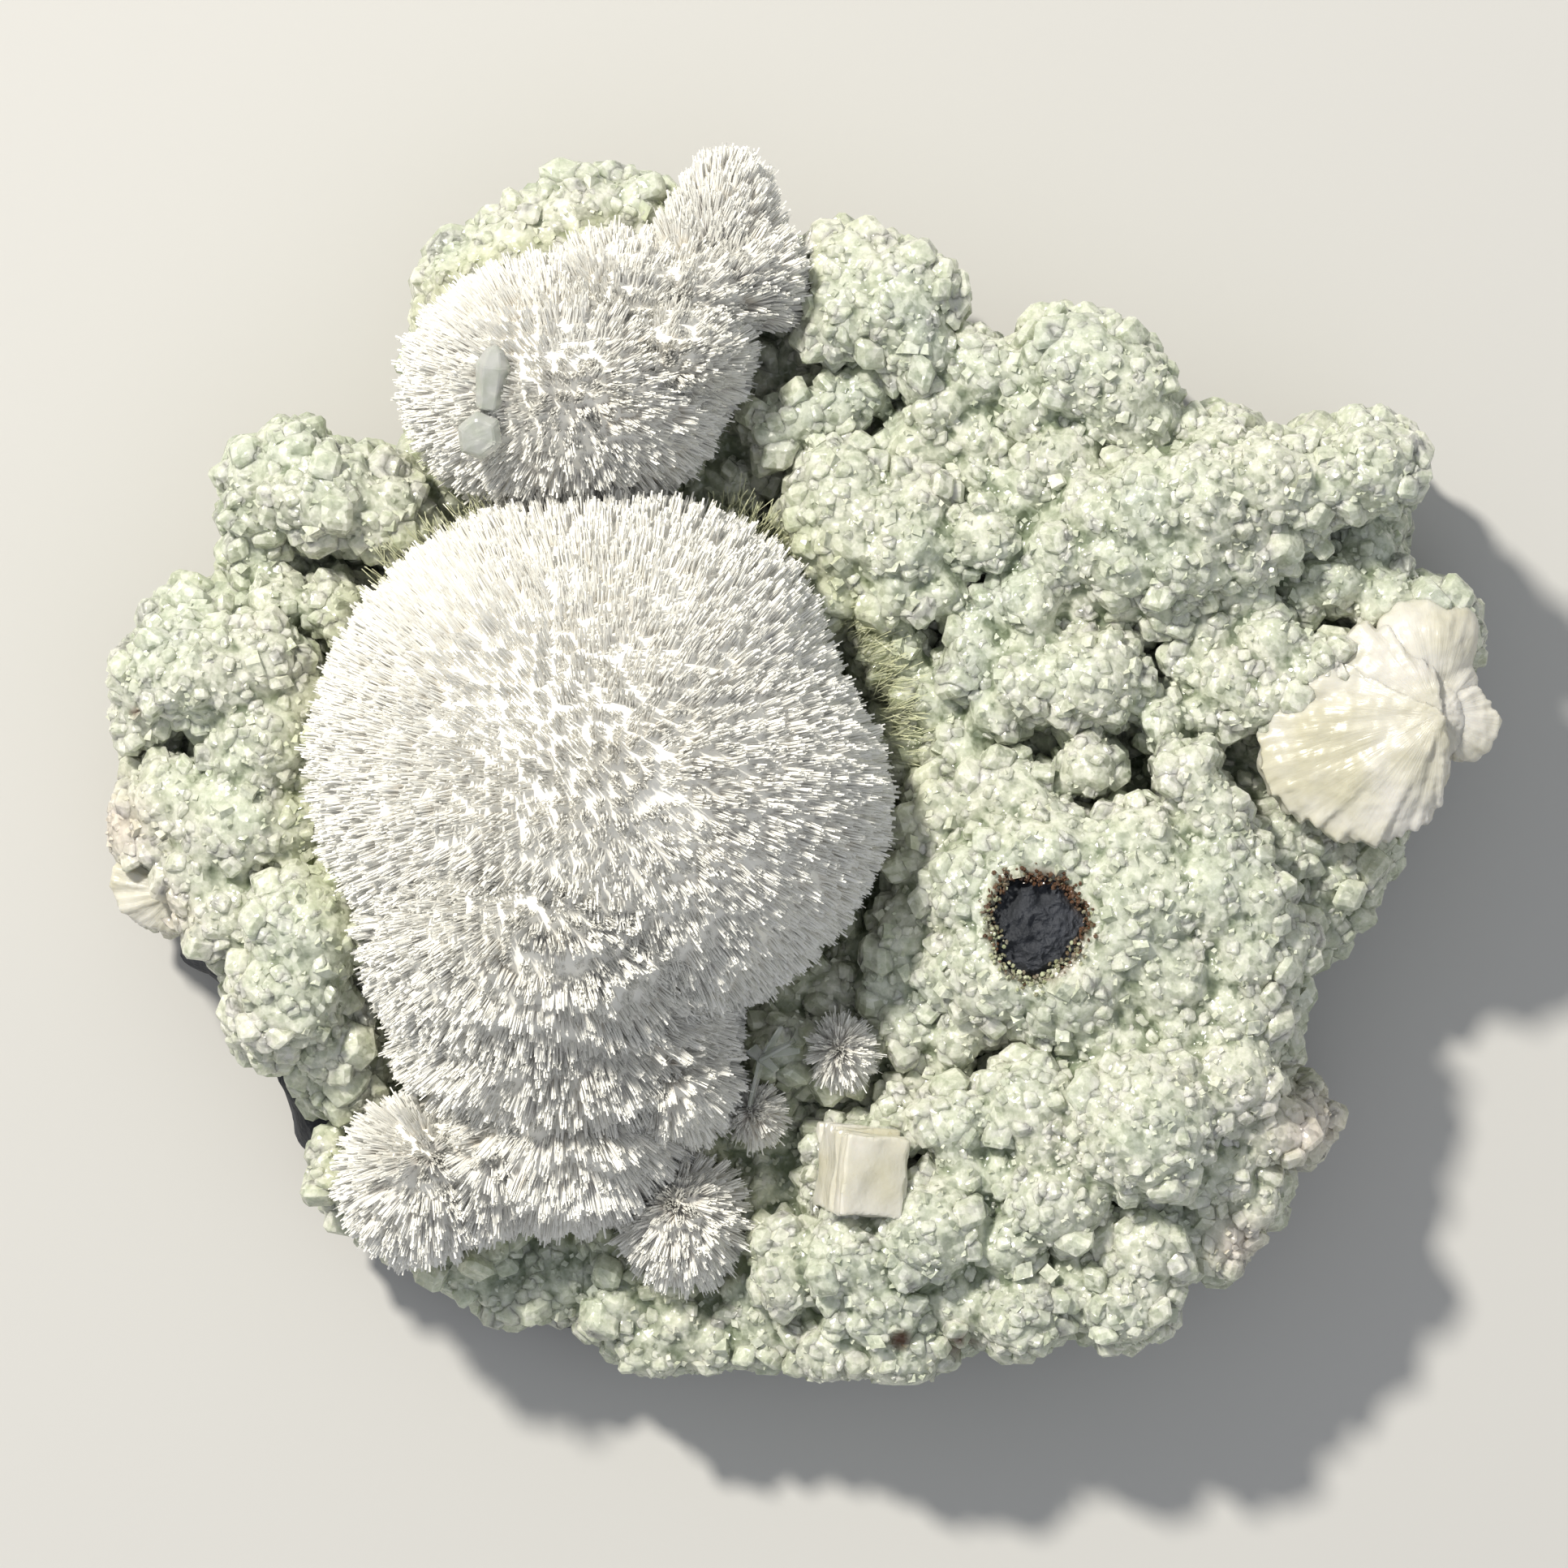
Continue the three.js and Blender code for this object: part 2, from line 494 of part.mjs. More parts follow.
const puffCrystalSolid = ({ at, length, radius, aim }, grow = 0) =>
  prism(at, radius + grow, length + 2 * grow, aim);

function clearBladesSolid(grow = 0) {
  const [x, y, z] = clearBlades.at;
  const stem = new THREE.BoxGeometry(...clearBlades.stem.map((side) => side + 2 * grow));
  stem.translate(x, y, z - clearBlades.stem[2] / 2);
  return joined([solid(stem), ...clearBlades.blades.map((one) => blade(clearBlades.at, one, grow))]);
}

// Assembly: every grown crystal keeps its own shape, and what it grew on is cut to make room for it
const basalt = basaltSolid(0);
const sheaves = Object.entries(stilbites);
const roomForPuffs = joined(Object.entries(puffs).map(([name, lobes]) => puffRoom(name, lobes)));
const roomForStilbites = joined(sheaves.map(([, sheaf]) => stilbiteSolid(sheaf, GAP)));
const roomForScar = boulder(scar.at, scar.radii, 1, 0.1);

const crust = crustSolid()
  .subtract(basaltSolid(GAP))
  .subtract(roomForPuffs)
  .subtract(roomForStilbites)
  .subtract(blockSolid(GAP))
  .subtract(clearBladesSolid(GAP))
  .subtract(roomForScar);

const specimen = new THREE.Group();
specimen.add(meshOf("basalt_matrix", basalt, "basalt", 0.9));

// A cut can leave crumbs behind: only the one large body is the crust
const largest = crust.decompose().sort((a, b) => b.volume() - a.volume())[0];
specimen.add(meshOf("calcite_crust", largest, "calcite", 0.3));

const taken = [];
for (const [name, lobes] of Object.entries(puffs)) {
  let puff = puffSolid(name, lobes);
  for (const neighbour of taken) puff = puff.subtract(neighbour);
  if (name === "upper_puff")
    for (const crystal of Object.values(puffCrystals)) puff = puff.subtract(puffCrystalSolid(crystal, GAP));
  puff = puff.subtract(clearBladesSolid(GAP)).subtract(basaltSolid(GAP));
  const whole = puff.decompose().sort((a, b) => b.volume() - a.volume())[0];
  specimen.add(meshOf(name, whole, "mordenite", 0.7));
  taken.push(puffRoom(name, lobes));
}
for (const [name, sheaf] of sheaves) specimen.add(meshOf(name, stilbiteSolid(sheaf), "stilbite", 0.35));
specimen.add(meshOf("stilbite_block", blockSolid(), "stilbite", 0.35));
for (const [name, crystal] of Object.entries(puffCrystals))
  specimen.add(meshOf(name, puffCrystalSolid(crystal), "clear", 0.15));
specimen.add(meshOf("clear_blades", clearBladesSolid(), "clear", 0.1));

// The origin is put at the middle of the plan box
const box = new THREE.Box3().setFromObject(specimen);
const middle = box.getCenter(new THREE.Vector3());
for (const mesh of specimen.children) mesh.geometry.translate(-middle.x, -middle.y, -box.min.z);

export default specimen;
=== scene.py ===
# %% [markdown]
# # A mordenite puff on calcite
# The specimen is a hand-sized piece of dark basalt that a pale green calcite druse grew over. On the druse
# stand white balls of mordenite needles, and between them a few cream stilbite crystals.
# The solid model gives the place and size of every mass. Here each mass gets the surface that it has on
# the real piece: over a hundred thousand needles, thousands of small crystals, and the stone below them.

# %% Load the frame
import math

import bmesh
import bpy
import numpy as np
from mathutils import Matrix, Vector, kdtree, noise


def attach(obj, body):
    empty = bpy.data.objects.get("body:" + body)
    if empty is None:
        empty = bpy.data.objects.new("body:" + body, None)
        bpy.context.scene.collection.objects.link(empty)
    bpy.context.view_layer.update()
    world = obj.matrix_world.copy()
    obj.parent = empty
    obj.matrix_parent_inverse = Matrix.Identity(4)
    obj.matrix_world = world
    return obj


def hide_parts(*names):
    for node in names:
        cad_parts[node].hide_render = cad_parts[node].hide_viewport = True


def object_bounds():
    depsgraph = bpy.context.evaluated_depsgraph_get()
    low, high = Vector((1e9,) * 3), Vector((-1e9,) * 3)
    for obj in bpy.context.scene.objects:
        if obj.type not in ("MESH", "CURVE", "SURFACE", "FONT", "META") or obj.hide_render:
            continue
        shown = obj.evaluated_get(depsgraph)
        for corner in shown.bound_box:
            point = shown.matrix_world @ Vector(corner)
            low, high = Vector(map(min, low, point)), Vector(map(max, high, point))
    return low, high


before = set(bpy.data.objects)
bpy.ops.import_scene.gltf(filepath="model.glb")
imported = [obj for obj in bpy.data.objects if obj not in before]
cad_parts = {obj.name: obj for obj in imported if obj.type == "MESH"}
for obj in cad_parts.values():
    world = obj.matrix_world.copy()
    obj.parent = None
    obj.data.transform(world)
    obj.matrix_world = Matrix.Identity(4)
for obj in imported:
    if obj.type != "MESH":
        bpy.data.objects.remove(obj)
cad_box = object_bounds()
MM = 0.001
LOW, HIGH = (np.array(corner) / MM for corner in cad_box)  # the solid model's box, in millimetres
print("nodes", sorted(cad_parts))

# %% [markdown]
# ## Helpers for materials
# Colours are picked as sRGB hex values, as on a screen, but shaders work in linear light, so one function
# turns them. Another adds any node with its settings and links in one call, so that a material reads as
# the list of what is in it.

# %% Colour and node helpers
BLEND = {"data_type": "RGBA"}
MULTIPLY = {"data_type": "RGBA", "blend_type": "MULTIPLY"}


def linear(hex_colour):
    """An sRGB hex colour in linear light, by the curve of the sRGB standard."""
    channels = [int(hex_colour[i : i + 2], 16) / 255 for i in (1, 3, 5)]
    return tuple(c / 12.92 if c <= 0.04045 else ((c + 0.055) / 1.055) ** 2.4 for c in channels) + (1.0,)


def add_node(tree, kind, settings=None, values=None, links=None, stops=()):
    """Adds a node and returns its outputs: settings are its own fields, values its sockets' numbers, links
    the outputs fed in, and stops a ramp's colours as (position, hex colour)."""
    node = tree.nodes.new(kind)
    for field, value in (settings or {}).items():
        setattr(node, field, value)
    for socket, value in (values or {}).items():
        node.inputs[socket].default_value = value
    for socket, source in (links or {}).items():
        tree.links.new(source, node.inputs[socket])
    for _ in stops[2:]:
        node.color_ramp.elements.new(0.5)
    for k, (position, colour) in enumerate(stops):
        node.color_ramp.elements[k].position = position
        node.color_ramp.elements[k].color = linear(colour)
    return node.outputs


def new_material(name, values):
    """A material with only its Principled shader, and its constants set on the shader's own sockets."""
    material = bpy.data.materials.new(name)
    material.use_nodes = True
    shader = material.node_tree.nodes["Principled BSDF"]
    for socket, value in values.items():
        shader.inputs[socket].default_value = value
    return material, material.node_tree, shader


# %% [markdown]
# ## Helpers for pieces
# All meshes are built in millimetres, which are easy to think in, and are scaled to metres when they become
# pieces. Numpy reads and moves all points of a mesh at once, where a loop over them would be slow.

# %% Piece helpers
def smooth_all(mesh, smooth):
    mesh.polygons.foreach_set("use_smooth", [smooth] * len(mesh.polygons))


def add_piece(name, mesh, material, slot, *nodes):
    """Puts a mesh that was built in millimetres into the scene, in metres, in place of its CAD nodes."""
    mesh.name = name
    mesh.transform(Matrix.Scale(MM, 4))
    mesh.materials.clear()
    mesh.materials.append(material)
    piece = bpy.data.objects.new(name, mesh)
    bpy.context.scene.collection.objects.link(piece)
    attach(piece, "root")
    if nodes:
        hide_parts(*nodes)
    print(name, "has", sum(len(p.vertices) - 2 for p in mesh.polygons), "triangles")


def finished(shape, name):
    """The bmesh as a mesh."""
    mesh = bpy.data.meshes.new(name)
    shape.to_mesh(mesh)
    shape.free()
    return mesh


def modified(mesh, *steps):
    """The mesh after some modifiers, each given as (kind, its settings)."""
    draft = bpy.data.objects.new("draft", mesh)
    bpy.context.scene.collection.objects.link(draft)
    for kind, settings in steps:
        modifier = draft.modifiers.new(kind, kind)
        for field, value in settings.items():
            setattr(modifier, field, value)
    shown = draft.evaluated_get(bpy.context.evaluated_depsgraph_get())
    result = bpy.data.meshes.new_from_object(shown)
    bpy.data.objects.remove(draft)
    bpy.data.meshes.remove(mesh)
    return result


def remeshed(shape, voxel, smoothing=0):
    """The bmesh's overlapping balls and slabs as one closed skin of even faces, in millimetres."""
    steps = [("REMESH", {"mode": "VOXEL", "voxel_size": voxel})]
    if smoothing:
        steps.append(("SMOOTH", {"factor": 0.5, "iterations": smoothing}))
    return modified(finished(shape, "draft"), *steps)


def bevelled(shape, width):
    """Cuts all edges of a bmesh back to narrow facets."""
    bmesh.ops.bevel(
        shape, geom=shape.edges[:], offset=width, offset_type="OFFSET", segments=1, profile=0.5,
        affect="EDGES", material=-1,
    )


def mesh_points(mesh):
    points = np.zeros(len(mesh.vertices) * 3, np.float32)
    mesh.vertices.foreach_get("co", points)
    return points.reshape(-1, 3)


def mesh_normals(mesh):
    normals = np.zeros(len(mesh.vertices) * 3, np.float32)
    mesh.vertex_normals.foreach_get("vector", normals)
    return normals.reshape(-1, 3)


def move_points(mesh, points):
    mesh.vertices.foreach_set("co", points.astype(np.float32).ravel())


def store(mesh, name, values, kind="FLOAT", field="value"):
    """Stores values at the mesh's points, under the name that a material reads."""
    layer = mesh.attributes.new(name, kind, "POINT")
    layer.data.foreach_set(field, np.ravel(values).astype(np.float32))


# %% [markdown]
# ## Camera, light and floor
# The photograph looks straight down on the specimen from far away, so a long lens high above it gives the
# same view. The light is strong and comes from the upper left, so every lump has a bright side and a
# shadow to its lower right, and the needles throw fine shadows on each other.

# %% Camera
FRAME_WIDTH = 156.1 * MM  # what the photograph's full width covers at the specimen
LENS = 200.0  # focal length and sensor width, as camera makers give them
SENSOR = 36.0
AIM = Vector((-1.75, -1.85, 30.0)) * MM  # the middle of the photograph, halfway up the specimen

camera_data = bpy.data.cameras.new("camera")
camera_data.lens = LENS
camera_data.sensor_width = SENSOR
camera = bpy.data.objects.new("camera", camera_data)
camera.location = AIM + Vector((0, 0, FRAME_WIDTH * LENS / SENSOR))
bpy.context.scene.collection.objects.link(camera)
bpy.context.scene.camera = camera
print("camera height", round(camera.location.z, 3))

# %% [markdown]
# The key light is a small disk, so that its shadows have crisp edges, out to the upper left. A large weak
# one on the other side and a dim sky stand for light that the room gives back. Without them the shadows
# would be black.

# %% Lights
LIGHTS = (  # name, direction it comes from, distance and size in metres, power in watts, colour
    ("key", (-0.62, 0.72, 1.15), 1.3, 0.12, 20.0, "#FFFAEE"),
    ("sky_fill", (0.5, -0.4, 1.6), 1.6, 1.2, 2.0, "#E8EEFF"),
)
SKY_COLOUR = "#F0F3F6"
SKY_STRENGTH = 0.45

for name, direction, distance, size, power, colour in LIGHTS:
    data = bpy.data.lights.new(name, "AREA")
    data.shape = "DISK"
    data.size = size
    data.energy = power
    data.color = linear(colour)[:3]
    light = bpy.data.objects.new(name, data)
    light.location = AIM + Vector(direction).normalized() * distance
    light.rotation_euler = (AIM - light.location).to_track_quat("-Z", "Y").to_euler()
    bpy.context.scene.collection.objects.link(light)

world = bpy.data.worlds.new("studio")
world.use_nodes = True
sky = world.node_tree.nodes["Background"]
sky.inputs["Color"].default_value = linear(SKY_COLOUR)
sky.inputs["Strength"].default_value = SKY_STRENGTH
bpy.context.scene.world = world
bpy.context.scene.view_settings.view_transform = "Standard"
print("lights", len(bpy.data.lights))

# %% [markdown]
# Light in a white druse bounces many times, and each bounce costs time. After three between rough faces
# there is little left of it, so the limits stop there.

# %% Light bounces and the floor
cycles = bpy.context.scene.cycles
cycles.max_bounces = 5
cycles.diffuse_bounces = 3
cycles.glossy_bounces = 2

floor_shape = bmesh.new()
bmesh.ops.create_grid(floor_shape, x_segments=1, y_segments=1, size=2.0)
floor_mesh = finished(floor_shape, "floor")
floor = bpy.data.objects.new("floor", floor_mesh)
paper, _, _ = new_material("matt_paper", {"Base Color": linear("#C9C8C6"), "Roughness": 0.9})
floor_mesh.materials.append(paper)
bpy.context.scene.collection.objects.link(floor)
print("floor", floor.dimensions[:2])

# %% [markdown]
# ## Materials
# Each material is built from what the mineral is. Calcite has two: a milky one for the druse, and a
# glossier one for the smallest crystals. Mordenite has three: the needles, the dense body that they stand
# on, and the stained fibres at its edge.
# Calcite grew from solution as glassy crystals on a milky, faintly green body. Light goes a millimetre or
# two in, so it glows softly. Its hollows and creases get painted shade in green grey. Cells of a Voronoi
# pattern tilt the surface like crystal faces, which would be too many for the mesh.

# %% Calcite druse
STAIN = "stain"  # red: rust, green: yellow-green fibre tint, blue: pink rim
# painted shade: darker in creases between crystals, in hollows and on crystals' lower corners; on the small
# rhombs and crumbs it holds a random tone
PAINTED_SHADE_AND_TONE = "painted_shade_and_tone"  # from 0 in a crease between crystals to 1 on a crystal's edge
CALCITE_IOR = 1.6
SMALL_FACES = ((0.8, 0.55), (0.36, 0.42))  # width in millimetres and tilt of the small faces
PATCHES = {"Scale": 1 / (13 * MM), "Detail": 4.0, "Roughness": 0.6}
PATCH_COLOURS = ((0.3, "#D8DDD2"), (0.45, "#E6E9DA"), (0.58, "#EDEDE0"), (0.72, "#F4F2E7"))
GRAIN = {"Scale": 1 / (1.1 * MM), "Detail": 4.0, "Roughness": 0.65}
FACE_SHADES = ((0.15, "#E6E8E3"), (0.85, "#FFFFFF"))
GRAIN_SHADES = ((0.35, "#DDE1DA"), (0.6, "#FFFFFF"))
# painted shade: dark green grey for creases and hollows; the same ramp also gives the small rhombs and
# crumbs random tones
PAINTED_SHADE_AND_TONE_COLOURS = ((0.08, "#A4AD9D"), (0.42, "#F6F7F4"), (0.7, "#FFFFFF"))
STAIN_TINTS = (("Green", "#C0C496"), ("Blue", "#E4D3C8"), ("Red", "#5A3822"))


def tilted_faces(tree, place):
    """The normal tilted in cells like crystal faces, and the widest cells' random colours."""
    normal = add_node(tree, "ShaderNodeNewGeometry")["Normal"]
    colours = []
    for width, tilt in SMALL_FACES:
        scale = {"Scale": 1 / (width * MM)}
        colours.append(add_node(tree, "ShaderNodeTexVoronoi", None, scale, {"Vector": place})["Color"])
        centre = {1: (tilt,) * 3, 2: (-tilt / 2,) * 3}
        times_tilt = {"operation": "MULTIPLY_ADD"}
        tilted = add_node(tree, "ShaderNodeVectorMath", times_tilt, centre, {0: colours[-1]})[0]
        total = add_node(tree, "ShaderNodeVectorMath", {"operation": "ADD"}, None, {0: normal, 1: tilted})[0]
        normal = add_node(tree, "ShaderNodeVectorMath", {"operation": "NORMALIZE"}, None, {0: total})[0]
    return normal, colours[0]


def calcite_material(name, values):
    material, tree, shader = new_material(name, {"IOR": CALCITE_IOR, **values})
    place = add_node(tree, "ShaderNodeTexCoord")["Object"]
    normal, faces = tilted_faces(tree, place)
    patches = add_node(tree, "ShaderNodeTexNoise", None, PATCHES, {"Vector": place})["Fac"]
    grain = add_node(tree, "ShaderNodeTexNoise", None, GRAIN, {"Vector": place})["Fac"]
    # painted shade of creases and hollows, and random tones, read from the points
    painted_shade_and_tone = add_node(tree, "ShaderNodeAttribute", {"attribute_name": PAINTED_SHADE_AND_TONE})["Fac"]
    colour = add_node(tree, "ShaderNodeValToRGB", None, None, {"Fac": patches}, PATCH_COLOURS)["Color"]
    for source, stops in ((faces, FACE_SHADES), (grain, GRAIN_SHADES), (painted_shade_and_tone, PAINTED_SHADE_AND_TONE_COLOURS)):
        shade = add_node(tree, "ShaderNodeValToRGB", None, None, {"Fac": source}, stops)["Color"]
        colour = add_node(tree, "ShaderNodeMix", MULTIPLY, {0: 1.0}, {6: colour, 7: shade})[2]
    stain = add_node(tree, "ShaderNodeAttribute", {"attribute_name": STAIN})["Color"]
    shares = add_node(tree, "ShaderNodeSeparateColor", None, None, {"Color": stain})
    for channel, tint in STAIN_TINTS:
        blended = {0: shares[channel], 6: colour}
        colour = add_node(tree, "ShaderNodeMix", BLEND, {7: linear(tint)}, blended)[2]
    tree.links.new(colour, shader.inputs["Base Color"])
    tree.links.new(normal, shader.inputs["Normal"])
    return material


MILKY = {
    "Roughness": 0.26, "Subsurface Weight": 0.65, "Subsurface Radius": (0.95, 1.0, 0.85),
    "Subsurface Scale": 1.6 * MM,
}
calcite_skin = calcite_material("calcite_druse", MILKY)
calcite_crystals = calcite_material("calcite_crystals", {"Roughness": 0.15})
print("materials", len(bpy.data.materials))

# %% [markdown]
# Mordenite grew as hair-thin needles: silky and pure white at the tips. The warmer colour towards the foot
# is painted shade, for light that has come through many needles. So the colour follows the place along the
# needle.

# %% Mordenite
TIP = "tip"  # from 0 at a needle's foot to 1 at its point
SILKY = {"Roughness": 0.35, "IOR": 1.48}
WARM_PATCHES = {"Scale": 1 / (6 * MM), "Detail": 2.0}
WARM_COLOURS = ((0.42, "#F7F5F2"), (0.62, "#F4EEE3"))
# painted shade: from the warm foot colour below 0.35 of a needle's length to the tip colour above 0.8
TIP_SHARES = ((0.35, "#000000"), (0.8, "#FFFFFF"))


def mordenite_material(name, tips):
    material, tree, shader = new_material(name, SILKY)
    place = add_node(tree, "ShaderNodeTexCoord")["Object"]
    patches = add_node(tree, "ShaderNodeTexNoise", None, WARM_PATCHES, {"Vector": place})["Fac"]
    warm = add_node(tree, "ShaderNodeValToRGB", None, None, {"Fac": patches}, WARM_COLOURS)["Color"]
    along = add_node(tree, "ShaderNodeAttribute", {"attribute_name": TIP})["Fac"]
    share = add_node(tree, "ShaderNodeValToRGB", None, None, {"Fac": along}, TIP_SHARES)["Color"]
    colour = add_node(tree, "ShaderNodeMix", BLEND, {7: linear(tips)}, {0: share, 6: warm})[2]
    tree.links.new(colour, shader.inputs["Base Color"])
    return material


mordenite = mordenite_material("mordenite_needles", "#FCFBF6")
mordenite_body = mordenite_material("mordenite_body", "#FDFBF4")
mordenite_stained = mordenite_material("mordenite_stained_fibres", "#CFD1AE")
print("materials", len(bpy.data.materials))

# %% [markdown]
# Basalt is fine-grained cooled lava, broken and rough. It is nearly black, with rust where water got in,
# and its grain is far too small to model, so it is bump in the shader.

# %% Basalt
RUSTY_PATCHES = {"Scale": 1 / (9 * MM), "Detail": 6.0}
STONE_COLOURS = ((0.4, "#2A2D33"), (0.58, "#42454D"), (0.68, "#57483F"))
STONE_GRAIN = {"Scale": 1 / (0.9 * MM), "Detail": 5.0}
STONE_BUMP = {"Strength": 0.8, "Distance": 0.5 * MM}

basalt, tree, shader = new_material("basalt", {"Roughness": 0.75})
place = add_node(tree, "ShaderNodeTexCoord")["Object"]
patches = add_node(tree, "ShaderNodeTexNoise", None, RUSTY_PATCHES, {"Vector": place})["Fac"]
stone = add_node(tree, "ShaderNodeValToRGB", None, None, {"Fac": patches}, STONE_COLOURS)["Color"]
tree.links.new(stone, shader.inputs["Base Color"])
grain = add_node(tree, "ShaderNodeTexNoise", None, STONE_GRAIN, {"Vector": place})["Fac"]
bump = add_node(tree, "ShaderNodeBump", None, STONE_BUMP, {"Height": grain})["Normal"]
tree.links.new(bump, shader.inputs["Normal"])
print("materials", len(bpy.data.materials))

# %% [markdown]
# Stilbite grew as sheaves of thin pearly blades: cream and waxy, with fine grooves along the blades. The
# mesh stores coordinates that run slowly along the blades and fast across them, so noise becomes grooves.

# %% Stilbite
STREAK = "streak"
WAXY = {
    "Roughness": 0.28, "IOR": 1.5, "Subsurface Weight": 0.5, "Subsurface Radius": (1.1, 1.0, 0.8),
    "Subsurface Scale": 1.5 * MM,
}
CREAM_PATCHES = {"Scale": 1 / (7 * MM), "Detail": 3.0}
CREAM_COLOURS = ((0.35, "#CBC7B2"), (0.5, "#D4D1C4"), (0.68, "#DDDAD3"))
GROOVES = {"Scale": 2.2, "Detail": 4.0}
GROOVE_BUMP = {"Strength": 0.45, "Distance": 0.2 * MM}

stilbite, tree, shader = new_material("stilbite", WAXY)
place = add_node(tree, "ShaderNodeTexCoord")["Object"]
patches = add_node(tree, "ShaderNodeTexNoise", None, CREAM_PATCHES, {"Vector": place})["Fac"]
cream = add_node(tree, "ShaderNodeValToRGB", None, None, {"Fac": patches}, CREAM_COLOURS)["Color"]
tree.links.new(cream, shader.inputs["Base Color"])
streak = add_node(tree, "ShaderNodeAttribute", {"attribute_name": STREAK})["Vector"]
grooves = add_node(tree, "ShaderNodeTexNoise", None, GROOVES, {"Vector": streak})["Fac"]
bump = add_node(tree, "ShaderNodeBump", None, GROOVE_BUMP, {"Height": grooves})["Normal"]
tree.links.new(bump, shader.inputs["Normal"])
print("materials", len(bpy.data.materials))

# %% [markdown]
# The clear calcite crystals let light through with calcite's own IOR. They aren't quite clear: pale veils
# in them scatter some of it, so only part of the light is transmitted.

# %% Clear calcite
GLASSY = {"Roughness": 0.1, "IOR": CALCITE_IOR, "Transmission Weight": 0.6}
VEILS = {"Scale": 1 / (1.5 * MM), "Detail": 3.0}
VEIL_COLOURS = ((0.4, "#FBFDFB"), (0.62, "#E9EFE4"))

clear_calcite, tree, shader = new_material("clear_calcite", GLASSY)
place = add_node(tree, "ShaderNodeTexCoord")["Object"]
veils = add_node(tree, "ShaderNodeTexNoise", None, VEILS, {"Vector": place})["Fac"]
pale = add_node(tree, "ShaderNodeValToRGB", None, None, {"Fac": veils}, VEIL_COLOURS)["Color"]
tree.links.new(pale, shader.inputs["Base Color"])
print("materials", len(bpy.data.materials))

# %% [markdown]
# ## Many small copies
# Small crystals and needles are made the same way: one tiny template, then thousands of turned and scaled
# copies of it joined in one mesh. Numpy does this in a moment, where separate objects would be slow.

# %% Strewing copies
def turns_to(directions, spins):
    """Rotation matrices that take +Z to each direction and spin about it."""
    z = directions / np.linalg.norm(directions, axis=1, keepdims=True)
    helper = np.where(np.abs(z[:, 2:3]) < 0.9, [[0.0, 0.0, 1.0]], [[1.0, 0.0, 0.0]])
    x = np.cross(helper, z)
    x /= np.linalg.norm(x, axis=1, keepdims=True)
    y = np.cross(z, x)
    c, s = np.cos(spins)[:, None], np.sin(spins)[:, None]
    return np.stack([x * c + y * s, y * c - x * s, z], axis=2)


def strew(name, template, places, turns, sizes):
    """One mesh of many copies of a template of triangles, each turned, scaled and placed."""
    corners = np.array([v.co[:] for v in template.verts])
    faces = np.array([[v.index for v in f.verts] for f in template.faces])
    count, per = len(places), len(corners)
    spots = np.einsum("nij,nmj->nmi", turns, corners[None] * sizes[:, None]) + places[:, None]
    mesh = bpy.data.meshes.new(name)
    mesh.vertices.add(count * per)
    move_points(mesh, spots)
    loops = (faces[None] + (np.arange(count) * per)[:, None, None]).reshape(-1)
    mesh.loops.add(len(loops))
    mesh.loops.foreach_set("vertex_index", loops.astype(np.int32))
    mesh.polygons.add(count * len(faces))
    mesh.polygons.foreach_set("loop_start", np.arange(count * len(faces), dtype=np.int32) * 3)
    mesh.update(calc_edges=True)
    mesh.validate()
    smooth_all(mesh, False)
    return mesh


def triangulated(shape):
    bmesh.ops.triangulate(shape, faces=shape.faces[:])
    shape.verts.ensure_lookup_table()
    shape.verts.index_update()
    return shape


def ball_template(detail):
    ball = bmesh.new()
    bmesh.ops.create_icosphere(ball, subdivisions=detail, radius=1)
    return triangulated(ball)


def strew_upright(shape, template, places, sizes):
    """Adds unturned copies of a template to a bmesh, and frees the template."""
    upright = np.tile(np.eye(3), (len(places), 1, 1))
    mesh = strew("upright", template, np.array(places, float), upright, np.array(sizes, float))
    template.free()
    shape.from_mesh(mesh)
    bpy.data.meshes.remove(mesh)


def one_per_cell(points, cell):
    """The first of the points in each cube of this width, so that copies keep their distance."""
    cubes = np.floor(points / cell).astype(np.int64)
    return np.unique(cubes, axis=0, return_index=True)[1]


rng = np.random.default_rng(11)

# %% [markdown]
# ## The calcite crust
# The druse is a plate with rounded lumps, each one a ball of crystals. More than a hundred and sixty have
# their own place here, as (x, y, height of the top, radius). Balls are pushed into the plate, and a voxel
# remesh makes them one skin with sharp creases between the lumps.

# %% Where the crust lies
SHIFT = np.array([-0.15, -0.12])  # from the plan that all was laid out in to the solid model's frame
BED = 17.5  # height of the plate between the lumps, in millimetres
RIM = 12.5  # height of the plate at its edge
BOTTOM = 6.5

